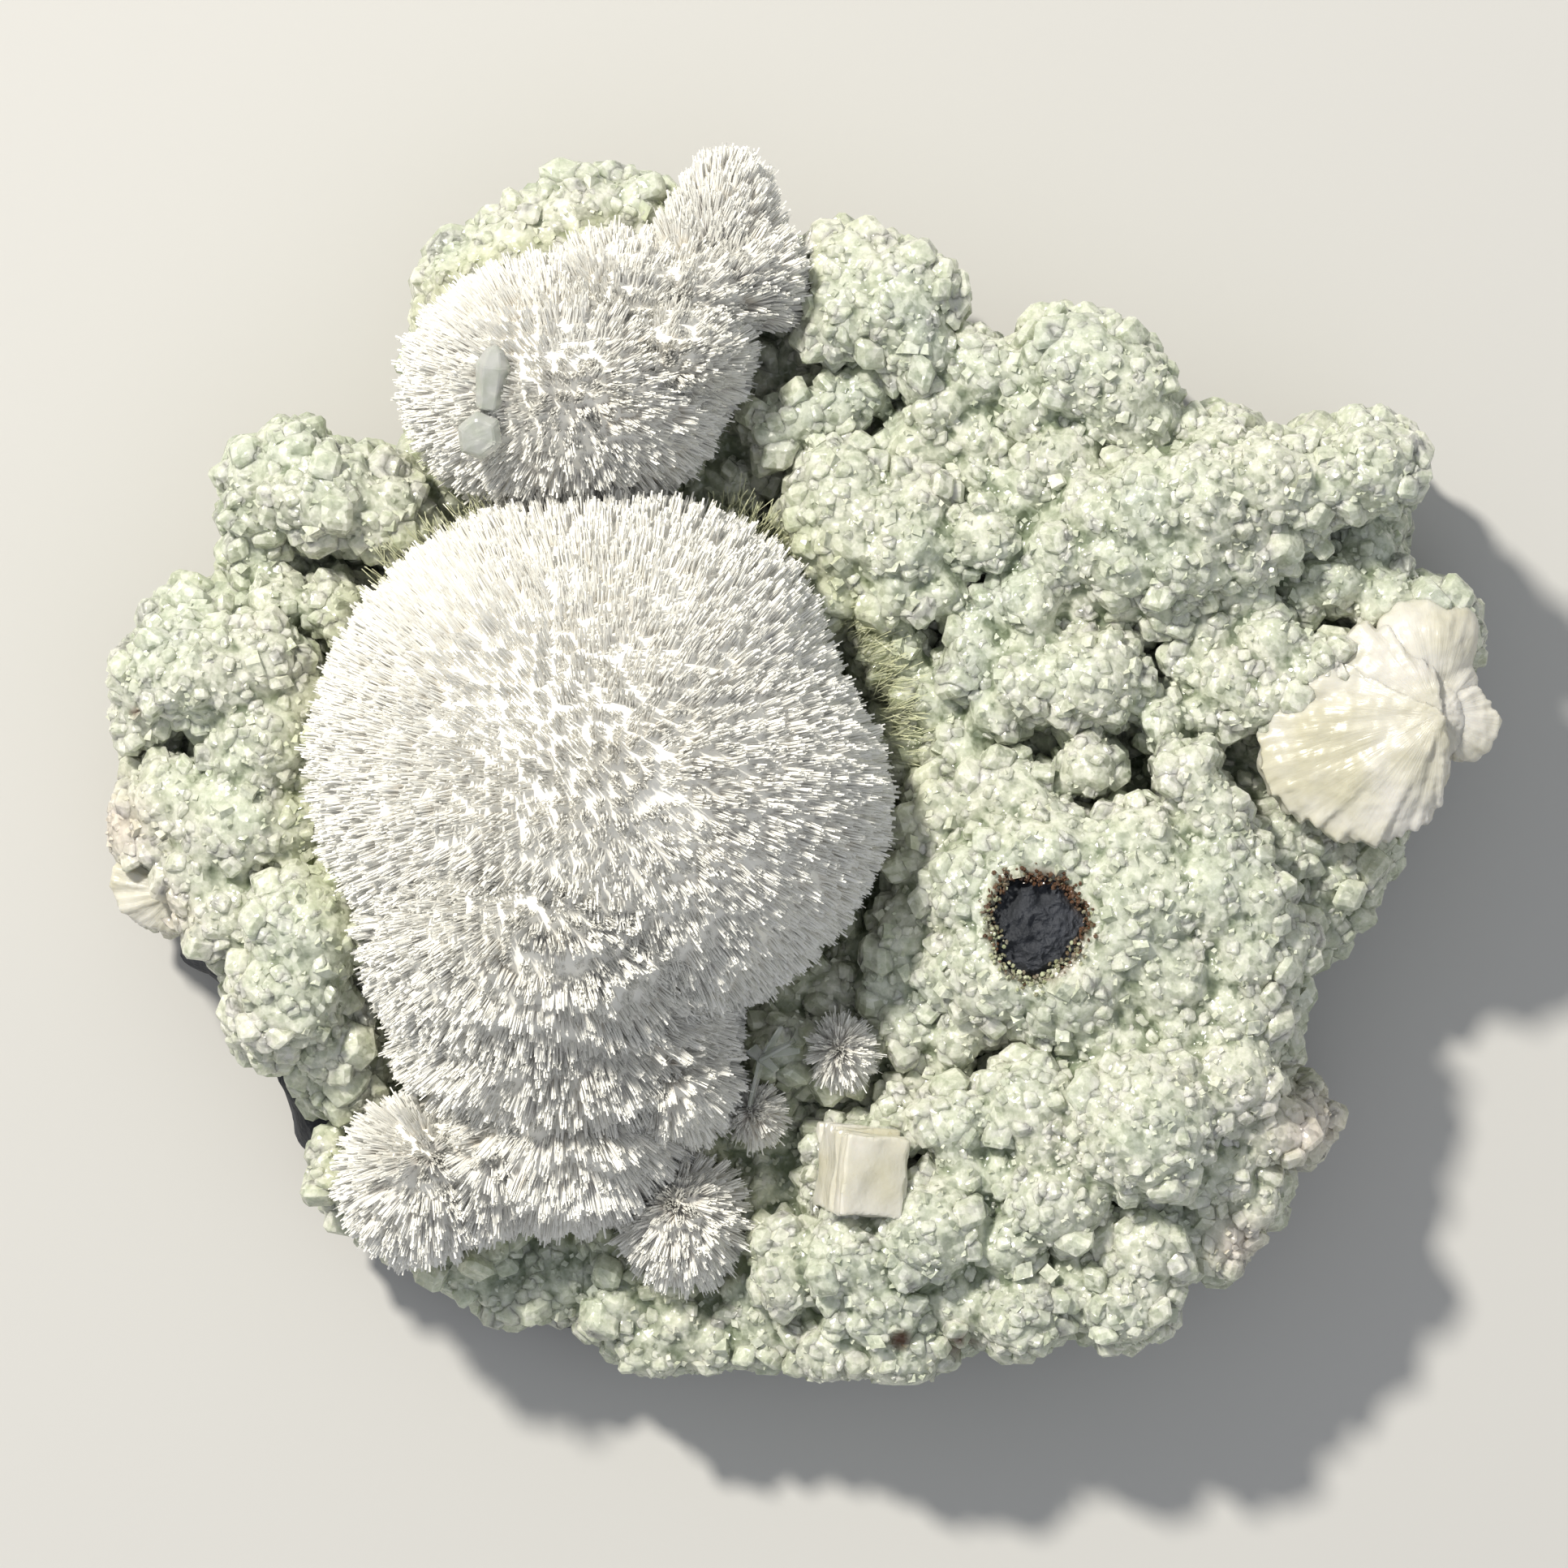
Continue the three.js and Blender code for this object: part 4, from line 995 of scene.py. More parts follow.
rhomb = rhomb_template(1.6, 0.3)
corners = np.array([v.co[:] for v in rhomb.verts])
for side, chosen in west_and_east(crystals[0]):
    places, turns, sizes = (row[chosen] for row in crystals)
    # painted shade: each crystal lighter on its upper corners and darker on its lower ones, and darker in
    # the hollows
    upward = np.einsum("nij,mj->nmi", turns, corners)[..., 2]
    mesh = strew("crust_crystals", rhomb, places, turns, sizes)
    store(mesh, PAINTED_SHADE_AND_TONE, np.clip(0.54 + 0.3 * upward, 0, 1) * painted_hollow_shade(places[:, 2])[:, None])
    stain_crust(mesh)
    add_piece("crust_crystals_" + side, mesh, calcite_skin, "calcite")
rhomb.free()

# %% [markdown]
# ## The crust's two pieces
# The fine skin has many small faces where it is flat, and collapsing some of them costs nothing to the
# eye. It is still too much for one piece, so a plane cuts it in two and each cut is closed.

# %% Thin out the skin and cut it in two
KEPT_FACES = 0.55
CUT = -22.0


def half(mesh, x, side):
    """What lies on one side of the plane at x, with its cut closed."""
    shape = bmesh.new()
    shape.from_mesh(mesh)
    cut = bmesh.ops.bisect_plane(
        shape, geom=shape.verts[:] + shape.edges[:] + shape.faces[:], plane_co=(x, 0, 0),
        plane_no=(side, 0, 0), clear_inner=True,
    )
    edges = [g for g in cut["geom_cut"] if isinstance(g, bmesh.types.BMEdge)]
    bmesh.ops.triangle_fill(shape, edges=edges, use_beauty=True)
    bmesh.ops.recalc_face_normals(shape, faces=shape.faces[:])
    return finished(shape, "half")


skin = modified(skin, ("DECIMATE", {"ratio": KEPT_FACES}))
store_painted_crease_shade(skin)
for name, side, nodes in (("crust_west", -1, ()), ("crust_east", 1, ("calcite_crust",))):
    part = half(skin, CUT, side)
    stain_crust(part)
    smooth_all(part, True)
    add_piece(name, part, calcite_skin, "calcite", *nodes)

# %% [markdown]
# ## The smallest crystals
# Thousands of small plain rhombs stand half sunk in the frosted skin and catch the light on their flat
# faces. They are too small for cut edges to show, and a random tone for each keeps them apart.

# %% Small rhombs over the crust
TINY_RHOMBS = (1.3, 0.2, 0.42, 0.5, 0.45)  # spacing, least and largest radius, stand, share kept
SMALL_RHOMBS = (4.2, 0.6, 1.0, 0.45, 0.3)

spots, ups = in_sight(*surface_samples(skin, 200000), least_up=-0.2, puff_share=0.86, scar_share=1.12)
bpy.data.meshes.remove(skin)
everywhere = np.ones(len(spots))
grades = [crystal_places(spots, ups, everywhere, *row) for row in (TINY_RHOMBS, SMALL_RHOMBS)]
places, turns, sizes = (np.concatenate(pair) for pair in zip(*grades))
rhomb = rhomb_template(1.5, 0)
for side, chosen in west_and_east(places):
    mesh = strew("rhombs", rhomb, places[chosen], turns[chosen], sizes[chosen])
    store(mesh, PAINTED_SHADE_AND_TONE, np.repeat(rng.uniform(0.3, 0.9, len(chosen)), len(rhomb.verts)))
    stain_crust(mesh)
    add_piece("rhombs_" + side, mesh, calcite_crystals, "calcite")
rhomb.free()

# %% [markdown]
# ## The puffs
# A puff is a ball of needles that all grew outward from one place. The needles stand in small tufts, so
# their tips lean together, and the hollows between the tufts are in shade. The large puff's lower side
# falls in ledges like roof tiles, so the surface that the tips reach is lowered by a saw-tooth there.

# %% Ledges and the dent
SEAT = 23.0  # height at which the puffs stand on the crust
LEDGE = 5.4  # width of the ledges
LEDGE_MIDDLE = (-22.0, -8.0)
LEDGE_START = -13.0  # the ledges grow over LEDGE_GROWTH below this y
LEDGE_GROWTH = 9.0
LEAST_LEDGE = 0.5
DENT = (22.0, 20.0, 0.12)  # the large puff is drawn in here: degrees round it, half width, share


def dented(points):
    """Moves points of the large puff in towards its middle where its outline is drawn in."""
    away = points[:, :2] - ALL_MIDDLES[0, :2]
    degrees = np.degrees(np.arctan2(away[:, 1], away[:, 0]))
    middle, width, depth = DENT
    share = 1 - depth * np.exp(-(((degrees - middle) / width) ** 2))
    return np.column_stack([ALL_MIDDLES[0, :2] + away * share[:, None], points[:, 2]])


def ledge_depth(points, depth):
    """How high the ledges are: most on the large puff's lower side."""
    return LEAST_LEDGE + depth * np.clip((LEDGE_START - points[:, 1]) / LEDGE_GROWTH, 0, 1)


def plan_noise(points, width, height):
    return np.array([noise.noise(Vector((x / width, y / width, height))) for x, y in points[:, :2]])


def ledge_fall(points, depth):
    """How far the puffs' surface drops behind each ledge."""
    away = np.hypot(points[:, 0] - LEDGE_MIDDLE[0], points[:, 1] - LEDGE_MIDDLE[1])
    step = away / LEDGE + 0.8 * plan_noise(points, 8.0, 3.0) + 0.25 * plan_noise(points, 2.6, 7.0)
    return ledge_depth(points, depth) * (1 - (step - np.floor(step)))


# %% [markdown]
# A needle is the simplest closed shape that has a point: a tetrahedron of four triangles, with a chisel
# edge at its tip. The tips come first, on an even spiral over each lobe. Each needle then leans away from
# the place that its lobe grew from, and a little towards the middle of its tuft.

# %% Where needles end
GOLDEN_ANGLE = math.pi * (3 - math.sqrt(5))
UNDERCUT = 7  # tips end this far below the seat at most
OVERLAP = 0.93  # no needle ends inside another lobe drawn at this share
OUTWARD = 0.75  # share of a needle's direction that points away from its lobe's root
NEEDLE_CORNERS = ((0.6, 0, 1), (-0.6, 0, 1), (0, 1.5, 0), (0, -1.5, 0))  # tip edge, foot edge


def needle_template():
    """A needle along +Z from 0 to 1: a long tetrahedron between two crossed edges."""
    needle = bmesh.new()
    for corner in NEEDLE_CORNERS:
        needle.verts.new(corner)
    bmesh.ops.convex_hull(needle, input=needle.verts[:])
    bmesh.ops.recalc_face_normals(needle, faces=needle.faces[:])
    return triangulated(needle)


def ball_points(spacing, radii):
    """Even points over a unit ball, as many as an ellipsoid of these radii needs."""
    area = 4 * math.pi * (radii.prod() ** (2 / 3))
    count = max(int(area / spacing**2), 12)
    k = np.arange(count) + 0.5
    z = 1 - 2 * k / count
    r = np.sqrt(1 - z**2)
    return np.stack([r * np.cos(GOLDEN_ANGLE * k), r * np.sin(GOLDEN_ANGLE * k), z], axis=1)


def unit_rows(rows):
    return rows / np.linalg.norm(rows, axis=1, keepdims=True)


def needle_tips(lobes, chosen, spacing):
    """Where the needles of the chosen lobes would end without tufts, and their directions."""
    middles, radii = lobe_arrays(lobes)
    tips, aims = [], []
    for i in chosen:
        root = np.array(lobes[i][2], float)
        root[:2] += SHIFT
        unit = ball_points(spacing, radii[i])
        unit = unit_rows(unit + rng.normal(0, spacing * 0.4 / radii[i].mean(), unit.shape))
        tip = middles[i] + unit * radii[i]
        keep = (tip[:, 2] > SEAT - UNDERCUT) & (unit[:, 2] > -0.5)
        for j, (other, reach) in enumerate(zip(middles, radii)):
            if j != i:
                keep &= (((tip - other) / (reach * OVERLAP)) ** 2).sum(1) > 1
        aim = OUTWARD * unit_rows(tip - root) + (1 - OUTWARD) * unit_rows(unit / radii[i])
        tips.append(dented(tip[keep]) if lobes is PUFFS["main_puff"] else tip[keep])
        aims.append(aim[keep])
    return np.vstack(tips), unit_rows(np.vstack(aims))


# %% [markdown]
# Each needle belongs to the nearest tuft. Its tip is drawn towards the tuft's middle and ends lower the
# further it is from there, and some needles stand out alone. Random widths and heights keep the needles
# from looking combed.

# %% Needles over a set of lobes
STANDOUT = 0.6  # how far single needles stand out of their tuft, in millimetres
STANDOUT_FROM = 0.93  # above this random number a needle is one of them
TUFT_DROP = 1.1  # how much lower than the highest tufts the lowest ones end
TUFT_LEAN = 0.3  # share of the way to its tuft's middle that a tip is drawn
TUFT_WANDER = 0.2
BOX_ROOM = 0.3
WIDTHS = (0.65, 1.35)  # least and largest share of a needle's thickness


def nearest_of(points, others):
    """For each point the nearest of the others and its number."""
    tree = kdtree.KDTree(len(others))
    for i, p in enumerate(others):
        tree.insert(p, i)
    tree.balance()
    found = [tree.find(p) for p in points]
    return np.array([place[:] for place, _, _ in found]), np.array([i for _, i, _ in found])


def needles(name, lobes, chosen, spacing, tuft, length, thickness, depth):
    """Needles of the chosen lobes as one mesh: tufts that lean together on ledges."""
    tips, aims = needle_tips(lobes, chosen, spacing)
    tufts = tips[one_per_cell(tips, tuft)]
    nearest, index = nearest_of(tips, tufts)
    drop = 0.3 * np.linalg.norm(tips - nearest, axis=1) + 0.45 * rng.random(len(tips)) ** 2
    drop += TUFT_DROP * rng.random(len(tufts))[index] ** 1.5
    drop -= STANDOUT * (rng.random(len(tips)) > STANDOUT_FROM)
    tips[:, 2] -= ledge_fall(tips, depth)
    nearest[:, 2] -= ledge_fall(nearest, depth)
    wander = rng.normal(0, TUFT_WANDER, (len(tufts), 3))[index]
    points = tips - aims * drop[:, None] + (nearest - tips) * TUFT_LEAN + wander
    points = np.clip(points, LOW + BOX_ROOM, HIGH - BOX_ROOM)
    feet = tips - aims * length
    reach = points - feet
    wide = thickness * rng.uniform(*WIDTHS, len(tips))
    sizes = np.stack([wide, wide, np.linalg.norm(reach, axis=1)], axis=1)
    needle = needle_template()
    mesh = strew(name, needle, feet, turns_to(reach, rng.uniform(0, 6.28, len(tips))), sizes)
    store(mesh, TIP, np.tile([v.co.z for v in needle.verts], len(tips)))
    needle.free()
    print(name, "needles", len(tips))
    return mesh


# %% [markdown]
# The needles are dense, so between them the eye meets other needles a few millimetres down. A closed body
# stands for those: the lobes drawn in by less than the needles' length, and lowered where the ledges are.

# %% Bodies under the needles
BODY_DEPTH = 1.9  # how far below the needles' tips the dense body starts
BODY_FALL = 0.75  # share of the ledges' depth that it is lowered by
BODY_VOXEL = 0.7
BODY_TIP = 0.8  # its colour is that of a needle at this share of its length


def puff_core(lobes, depth, fall):
    shape = bmesh.new()
    for middle, radii in zip(*lobe_arrays(lobes)):
        made = bmesh.ops.create_icosphere(shape, subdivisions=4, radius=1)["verts"]
        bmesh.ops.scale(shape, verts=made, vec=Vector(np.maximum(radii - depth, 1.0)))
        bmesh.ops.translate(shape, verts=made, vec=Vector(middle))
    mesh = remeshed(shape, BODY_VOXEL)
    points = mesh_points(mesh).astype(float)
    if lobes is PUFFS["main_puff"]:
        points = dented(points)
    points[:, 2] -= BODY_FALL * ledge_depth(points, fall) * (points[:, 2] > SEAT)
    move_points(mesh, points)
    store(mesh, TIP, np.full(len(points), BODY_TIP))
    smooth_all(mesh, True)
    return mesh


# %% [markdown]
# The two large puffs have their needles in two pieces each, the main lobe and the others, so that no piece
# passes 200,000 triangles. The larger puff's main lobe alone comes close to 200,000 triangles.

# %% Grow the puffs
NEEDLES = (  # node, its lobes, spacing, tuft width, length and thickness of the needles, ledges' depth
    ("main_puff", (0,), 0.365, 1.8, 3.9, 0.14, 3.0),
    ("main_puff", (1, 2, 3, 4, 5, 6), 0.345, 1.8, 4.8, 0.14, 3.0),
    ("upper_puff", (0,), 0.345, 1.8, 3.2, 0.135, 0.6),
    ("upper_puff", (1, 2, 3, 4, 5, 6, 7), 0.34, 1.8, 3.6, 0.14, 0.4),
    ("lower_puff", (0,), 0.32, 1.7, 3.2, 0.13, 1.0),
    ("side_puff", (0,), 0.3, 1.3, 2.4, 0.11, 0.0),
    ("small_tuft", (0,), 0.3, 1.3, 2.6, 0.11, 0.0),
)
for number, (node, chosen, *measures) in enumerate(NEEDLES):
    name = f"{node}_needles_{number + 1}"
    add_piece(name, needles(name, PUFFS[node], chosen, *measures), mordenite, "mordenite")
for node, lobes in PUFFS.items():
    fall = next(row[-1] for row in NEEDLES if row[0] == node)
    add_piece(node + "_core", puff_core(lobes, BODY_DEPTH, fall), mordenite_body, "mordenite", node)

# %% [markdown]
# Thin yellow-green fibres stick out between the two large puffs and from the larger one's right edge. They
# are the same needles, thinner and looser, strewn along two arcs of that edge.

# %% Loose fibres at the large puff's edge
FIBRE_ARCS = (  # middle, radii, first and last degree, height, how many
    ((-19.6, 0.2), (28.6, 26.6), 2, 66, 27.0, 460),
    ((-19.6, 0.2), (27.0, 26.2), 96, 140, 31.0, 260),
)
FIBRE_WIDTH = 0.07
FIBRE_LENGTHS = (2.2, 4.6)


def loose_fibres():
    feet, reaches = [], []
    for middle, radii, first, last, height, count in FIBRE_ARCS:
        turn = np.radians(rng.uniform(first, last, count))
        out = np.stack([np.cos(turn), np.sin(turn), np.zeros(count)], axis=1)
        feet.append(np.array((*middle, height)) + out * (*radii, 0) + rng.normal(0, 0.7, (count, 3)))
        reaches.append(out + (0, 0, 0.4) + rng.normal(0, 0.35, (count, 3)))
    feet, reaches = np.vstack(feet), np.vstack(reaches)
    feet[:, :2] += SHIFT
    wide = np.full(len(feet), FIBRE_WIDTH)
    sizes = np.stack([wide, wide, rng.uniform(*FIBRE_LENGTHS, len(feet))], axis=1)
    needle = needle_template()
    mesh = strew("loose_fibres", needle, feet, turns_to(reaches, np.zeros(len(feet))), sizes)
    needle.free()
    store(mesh, TIP, np.ones(len(mesh.vertices)))
    return mesh


add_piece("loose_fibres", loose_fibres(), mordenite_stained, "mordenite")

# %% [markdown]
# ## The basalt
# The slab under it all is broken stone. Its solid is remeshed to even faces, and fractal noise lifts them
# along their normals. The underside stays flat, because the specimen rests on it.

# %% Basalt surface
STONE_VOXEL = 1.0
LUMP_WIDTH = 5.0
LUMP_NOISE = (1.0, 2.0, 4)  # fractal noise: how fast it fades, how much finer each octave, how many
FLAT_BELOW = 1.0  # the underside, which stays as it is


def basalt_surface():
    shape = bmesh.new()
    shape.from_mesh(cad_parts["basalt_matrix"].data)
    bmesh.ops.scale(shape, verts=shape.verts[:], vec=(1 / MM,) * 3)
    bmesh.ops.remove_doubles(shape, verts=shape.verts[:], dist=1e-3)
    mesh = remeshed(shape, STONE_VOXEL)
    points = mesh_points(mesh)
    lift = np.array([noise.fractal(Vector(p) / LUMP_WIDTH, *LUMP_NOISE) for p in points])
    lift[points[:, 2] < FLAT_BELOW] = 0
    points += mesh_normals(mesh) * (np.clip(lift, -1, 0.6) * 0.7)[:, None]
    points[:, 2] = np.maximum(points[:, 2], 0)
    move_points(mesh, points)
    smooth_all(mesh, False)
    return mesh


add_piece("basalt_stone", basalt_surface(), basalt, "basalt", "basalt_matrix")

# %% [markdown]
# The bare patch shows wrinkled basalt, almost level with the crust around it. A flattened ball fills the
# pit, and ridged noise wrinkles its upper side.

# %% Stone face of the scar
FACE_HEIGHT = 33.2
FACE_THICKNESS = 2.4
FACE_OVERLAP = 0.3


def scar_face():
    shape = bmesh.new()
    bmesh.ops.create_icosphere(shape, subdivisions=6, radius=1)
    radii = (scar_rx + FACE_OVERLAP, scar_ry + FACE_OVERLAP, FACE_THICKNESS)
    bmesh.ops.scale(shape, verts=shape.verts[:], vec=radii)
    bmesh.ops.translate(shape, verts=shape.verts[:], vec=(scar_x, scar_y, FACE_HEIGHT))
    for corner in shape.verts:
        if corner.co.z > FACE_HEIGHT:
            wave = noise.ridged_multi_fractal(corner.co / 3.2, 0.9, 2.1, 4, 1.0, 2.0)
            corner.co.z += 0.9 * (wave - 1.0)
    mesh = finished(shape, "scar_face")
    smooth_all(mesh, False)
    return mesh


add_piece("scar_face", scar_face(), basalt, "basalt")

# %% [markdown]
# Crumbs of crust line the scar: rust brown ones at its upper edge and pale green ones at its lower edge.
# They are tiny balls, strewn on the same ragged line as the edge itself.

# %% Crumbs round the scar
CRUMBS = 520
CRUMB_HEIGHTS = (35.0, 36.1)
CRUMB_RADII = (0.1, 0.32)


def scar_crumbs(count):
    around = rng.uniform(0, 2 * math.pi, count)
    ring = ragged(around, EDGE_WAVES[:2]) + rng.normal(0.04, 0.09, count)
    x, y = scar_x + scar_rx * ring * np.cos(around), scar_y + scar_ry * ring * np.sin(around)
    places = np.stack([x, y, rng.uniform(*CRUMB_HEIGHTS, count)], axis=1)
    sizes = rng.uniform(*CRUMB_RADII, (count, 3))
    crumb = ball_template(1)
    mesh = strew("scar_crumbs", crumb, places, turns_to(rng.normal(0, 1, (count, 3)), around), sizes)
    corners = len(crumb.verts)
    crumb.free()
    rust = np.clip(0.75 + 0.6 * np.sin(around + 0.3) + rng.normal(0, 0.35, count), 0, 0.95)
    colours = np.stack([rust, 0.5 * (1 - rust), np.zeros(count), np.ones(count)], axis=1)
    store_stain(mesh, np.repeat(colours, corners, axis=0))
    store(mesh, PAINTED_SHADE_AND_TONE, np.repeat(rng.uniform(0.0, 0.6, count), corners))
    return mesh


add_piece("scar_crumbs", scar_crumbs(CRUMBS), calcite_crystals, "calcite")

# %% [markdown]
# ## The stilbite
# Stilbite grows as a bow tie: thin blades side by side that spread out fanwise from a waist. Each fan is
# made of wedge-shaped blades laid out round its waist, in two layers, then remeshed to one body whose edge
# stays scalloped where the blades end. The largest fan also has rounded masses that its blades grew into.

# %% Fans of blades
BLADE_TURN = 5.0  # degrees between neighbouring blades
FOLD_WIDTH = 2.6
FOLD_NOISE = (0.9, 2.1, 4)
FOLD_HEIGHT = 0.26
GROOVE_HEIGHT = 0.22


def blade_template():
    """A blade along X from -1 to 1: narrow at the waist, wide and thin at its blunt outer end."""
    blade = bmesh.new()
    bmesh.ops.create_cube(blade, size=2)
    long_edges = [e for e in blade.edges if abs(e.verts[0].co.x - e.verts[1].co.x) > 1]
    bmesh.ops.subdivide_edges(blade, edges=long_edges, cuts=3, use_grid_fill=True)
    for corner in blade.verts:
        outward = (corner.co.x + 1) / 2
        corner.co.y *= 0.35 + 0.65 * outward
        corner.co.z *= 1 - 0.66 * outward**2.5
    return triangulated(blade)


def fan_blades(name, middle, reaches, layers):
    """The blades of a fan as one mesh. reaches are (degrees, length); layers are (height, share of the
    length, half width, half height)."""
    angles, lengths = np.array(reaches, float).T
    places, turns, sizes = [], [], []
    for height, share, wide, thick in layers:
        for angle in np.arange(angles[0], angles[-1] + 1, BLADE_TURN):
            turn = angle + rng.uniform(-0.8, 0.8)
            long = np.interp(turn, angles, lengths) * share * rng.uniform(0.96, 1.0)
            along = np.array([math.cos(math.radians(turn)), math.sin(math.radians(turn))])
            rise = height + 0.6 * noise.noise(Vector((turn / 13, height, 0))) + rng.uniform(-0.3, 0.3)
            places.append((*(middle[:2] + along * long / 2), rise))
            turns.append(Matrix.Rotation(math.radians(turn), 3, "Z"))
            sizes.append((long / 2, wide * rng.uniform(0.8, 1.2), thick))
    blade = blade_template()
    mesh = strew(name, blade, np.array(places), np.array(turns), np.array(sizes))
    blade.free()
    return mesh


def fan_streaks(points, middle):
    """Coordinates that run slowly outward from the fan's waist and fast round it."""
    away = points - middle
    turn = np.arctan2(away[:, 1], away[:, 0]) % (2 * math.pi)
    return np.stack([turn * 14, np.hypot(away[:, 0], away[:, 1]) * 0.12, away[:, 2] * 0.6], axis=1)


def blade_fan(name, waist, reaches, layers, masses, voxel):
    """A fan as one body; masses are the (middle, radii) of its rounded parts."""
    middle = np.array(waist, float)
    middle[:2] += SHIFT
    blades = fan_blades(name, middle, reaches, layers)
    shape = bmesh.new()
    shape.from_mesh(blades)
    bpy.data.meshes.remove(blades)
    if masses:
        spots, radii = np.array(masses, float).transpose(1, 0, 2)
        spots[:, :2] += SHIFT
        strew_upright(shape, ball_template(3), spots, radii)
    mesh = remeshed(shape, voxel, smoothing=3)
    points = mesh_points(mesh)
    streak = fan_streaks(points, middle)
    lift = np.array([GROOVE_HEIGHT * noise.noise(Vector(v) * 0.7) for v in streak])
    lift += np.array([FOLD_HEIGHT * noise.fractal(Vector(p) / FOLD_WIDTH, *FOLD_NOISE) for p in points])
    move_points(mesh, np.clip(points + mesh_normals(mesh) * lift[:, None], LOW, HIGH))
    store(mesh, STREAK, streak, "FLOAT_VECTOR", "vector")
    smooth_all(mesh, True)
    return mesh


# %% [markdown]
# The sheaf at the right is three fans round one waist: the broad one, the lobe above it and the wing to its
# right. The fourth fan stands alone at the left edge. Each fan's outline is how long its blades are at a
# few angles, and the blades between them take a length in between.

# %% Lay out the four fans
SHEAF = (63.4, 5.2, 28)  # waist of the sheaf's three fans
EDGE = (-62.3, -12.6, 22)
SHEAF_FAN = (
    (162, 9), (168, 10), (175, 12.3), (183, 16.6), (193, 18.4), (200, 19), (209, 18.3), (218, 16.5),
    (226, 16.2), (235, 15.4), (242, 13.8), (253, 12), (262, 9.2), (268, 5.6),
)
SHEAF_WING = ((283, 3.1), (305, 5.3), (322, 6.4), (349, 6.6), (366, 5.6), (389, 4.6), (420, 4.6))
SHEAF_LOBE = ((114, 5.6), (124, 8.7), (136, 12.4), (145, 11.9), (162, 10))
EDGE_FAN = ((150, 6.2), (162, 7.2), (180, 6.9), (202, 5.7), (228, 4.5), (258, 4.2), (285, 3.2))
SHEAF_MASSES = (
    ((62.6, 4.6, 27.8), (4.4, 4.6, 4.2)), ((56.0, 0.4, 27.6), (9.0, 6.0, 4.6)),
    ((56.8, -3.2, 27.0), (6.2, 3.6, 4.0)), ((50.5, 0.6, 27.6), (5.0, 4.2, 3.6)),
    ((62.2, 11.8, 27.4), (5.2, 5.2, 3.8)), ((65.4, 13.8, 27.0), (2.4, 2.6, 2.6)),
    ((65.0, 8.4, 27.0), (2.6, 2.6, 3.0)), ((54.0, 8.2, 28.0), (7.4, 3.3, 3.4)),
    ((66.8, 4.8, 27.0), (2.7, 2.3, 2.3)),
)
FAN_LAYERS = ((28.8, 1.0, 1.8, 4.2), (27.6, 0.98, 1.8, 3.0))
WING_LAYERS = ((28.0, 1.0, 0.9, 2.2), (27.0, 0.95, 0.9, 1.6))
LOBE_LAYERS = ((28.6, 1.0, 1.6, 3.4), (27.4, 0.97, 1.6, 2.6))
EDGE_LAYERS = ((21.6, 1.0, 0.8, 2.0), (20.6, 0.97, 0.8, 1.6))
FANS = (  # piece, waist, reaches, layers, masses, voxel size, the nodes that it stands in for
    ("stilbite_sheaf_fan", SHEAF, SHEAF_FAN, FAN_LAYERS, SHEAF_MASSES, 0.3, ("stilbite_sheaf",)),
    ("stilbite_sheaf_wing", SHEAF, SHEAF_WING, WING_LAYERS, (), 0.25, ()),
    ("stilbite_sheaf_lobe", SHEAF, SHEAF_LOBE, LOBE_LAYERS, (), 0.3, ()),
    ("stilbite_edge_fan", EDGE, EDGE_FAN, EDGE_LAYERS, (), 0.25, ("stilbite_edge",)),
)
for name, *measures, nodes in FANS:
    add_piece(name, blade_fan(name, *measures), stilbite, "stilbite", *nodes)

# %% [markdown]
# One crystal is a block of parallel plates, whose ends make its striped left face. Thirteen flat boxes of
# slightly different sizes overlap, and a remesh joins them with a step at each plate. Three plain noises
# make it uneven, because mathutils' noise_vector doesn't give the same values in every run.

# %% The block
PLATES = 13
BLOCK_SIZE = (7.2, 8.6, 10.6)
BLOCK_MIDDLE = (6, -40.2, 29.2)
BLOCK_TURNS = (("Z", -5), ("Y", 17), ("X", 3))  # degrees, the last one first
PLATE_OVERLAP = 1.25
STRAY = 0.35  # how far the faces stray from flat, in millimetres
STRAYS = ((9, -2, -8), (0, 0, 0), (-3, 9, 4))  # where in the noise points take their x, y and z from


def in_frame(middle):
    """A plan place as a place in the solid model's frame."""
    return Vector(middle) + Vector((*SHIFT, 0))


def block_crystal(middle, size, turns, plates):
    shape = bmesh.new()
    for k in range(plates):
        made = bmesh.ops.create_cube(shape, size=1)["verts"]
        wide, deep, tall = (rng.uniform(0.86, 1.0), rng.uniform(0.9, 1.0), rng.uniform(0.93, 1.0))
        thick = size[2] * tall * PLATE_OVERLAP / plates
        bmesh.ops.scale(shape, verts=made, vec=(size[0] * wide, size[1] * deep, thick))
        aside = (rng.uniform(-0.2, 0.2), rng.uniform(-0.25, 0.25))
        bmesh.ops.translate(shape, verts=made, vec=(*aside, ((k + 0.5) / plates - 0.5) * size[2]))
    rotation = Matrix.Identity(3)
    for axis, degrees in turns:
        rotation = rotation @ Matrix.Rotation(math.radians(degrees), 3, axis)
    bmesh.ops.rotate(shape, verts=shape.verts[:], matrix=rotation)
    bmesh.ops.translate(shape, verts=shape.verts[:], vec=in_frame(middle))
    mesh = remeshed(shape, 0.25, smoothing=1)
    points = mesh_points(mesh)
    at = [Vector(p) / FOLD_WIDTH for p in points]
    uneven = np.array([[noise.noise(p + Vector(place)) for place in STRAYS] for p in at])
    points = points + STRAY * uneven
    move_points(mesh, points)
    store(mesh, STREAK, points * (0.5, 0.5, 1.4), "FLOAT_VECTOR", "vector")
    smooth_all(mesh, False)
    return mesh


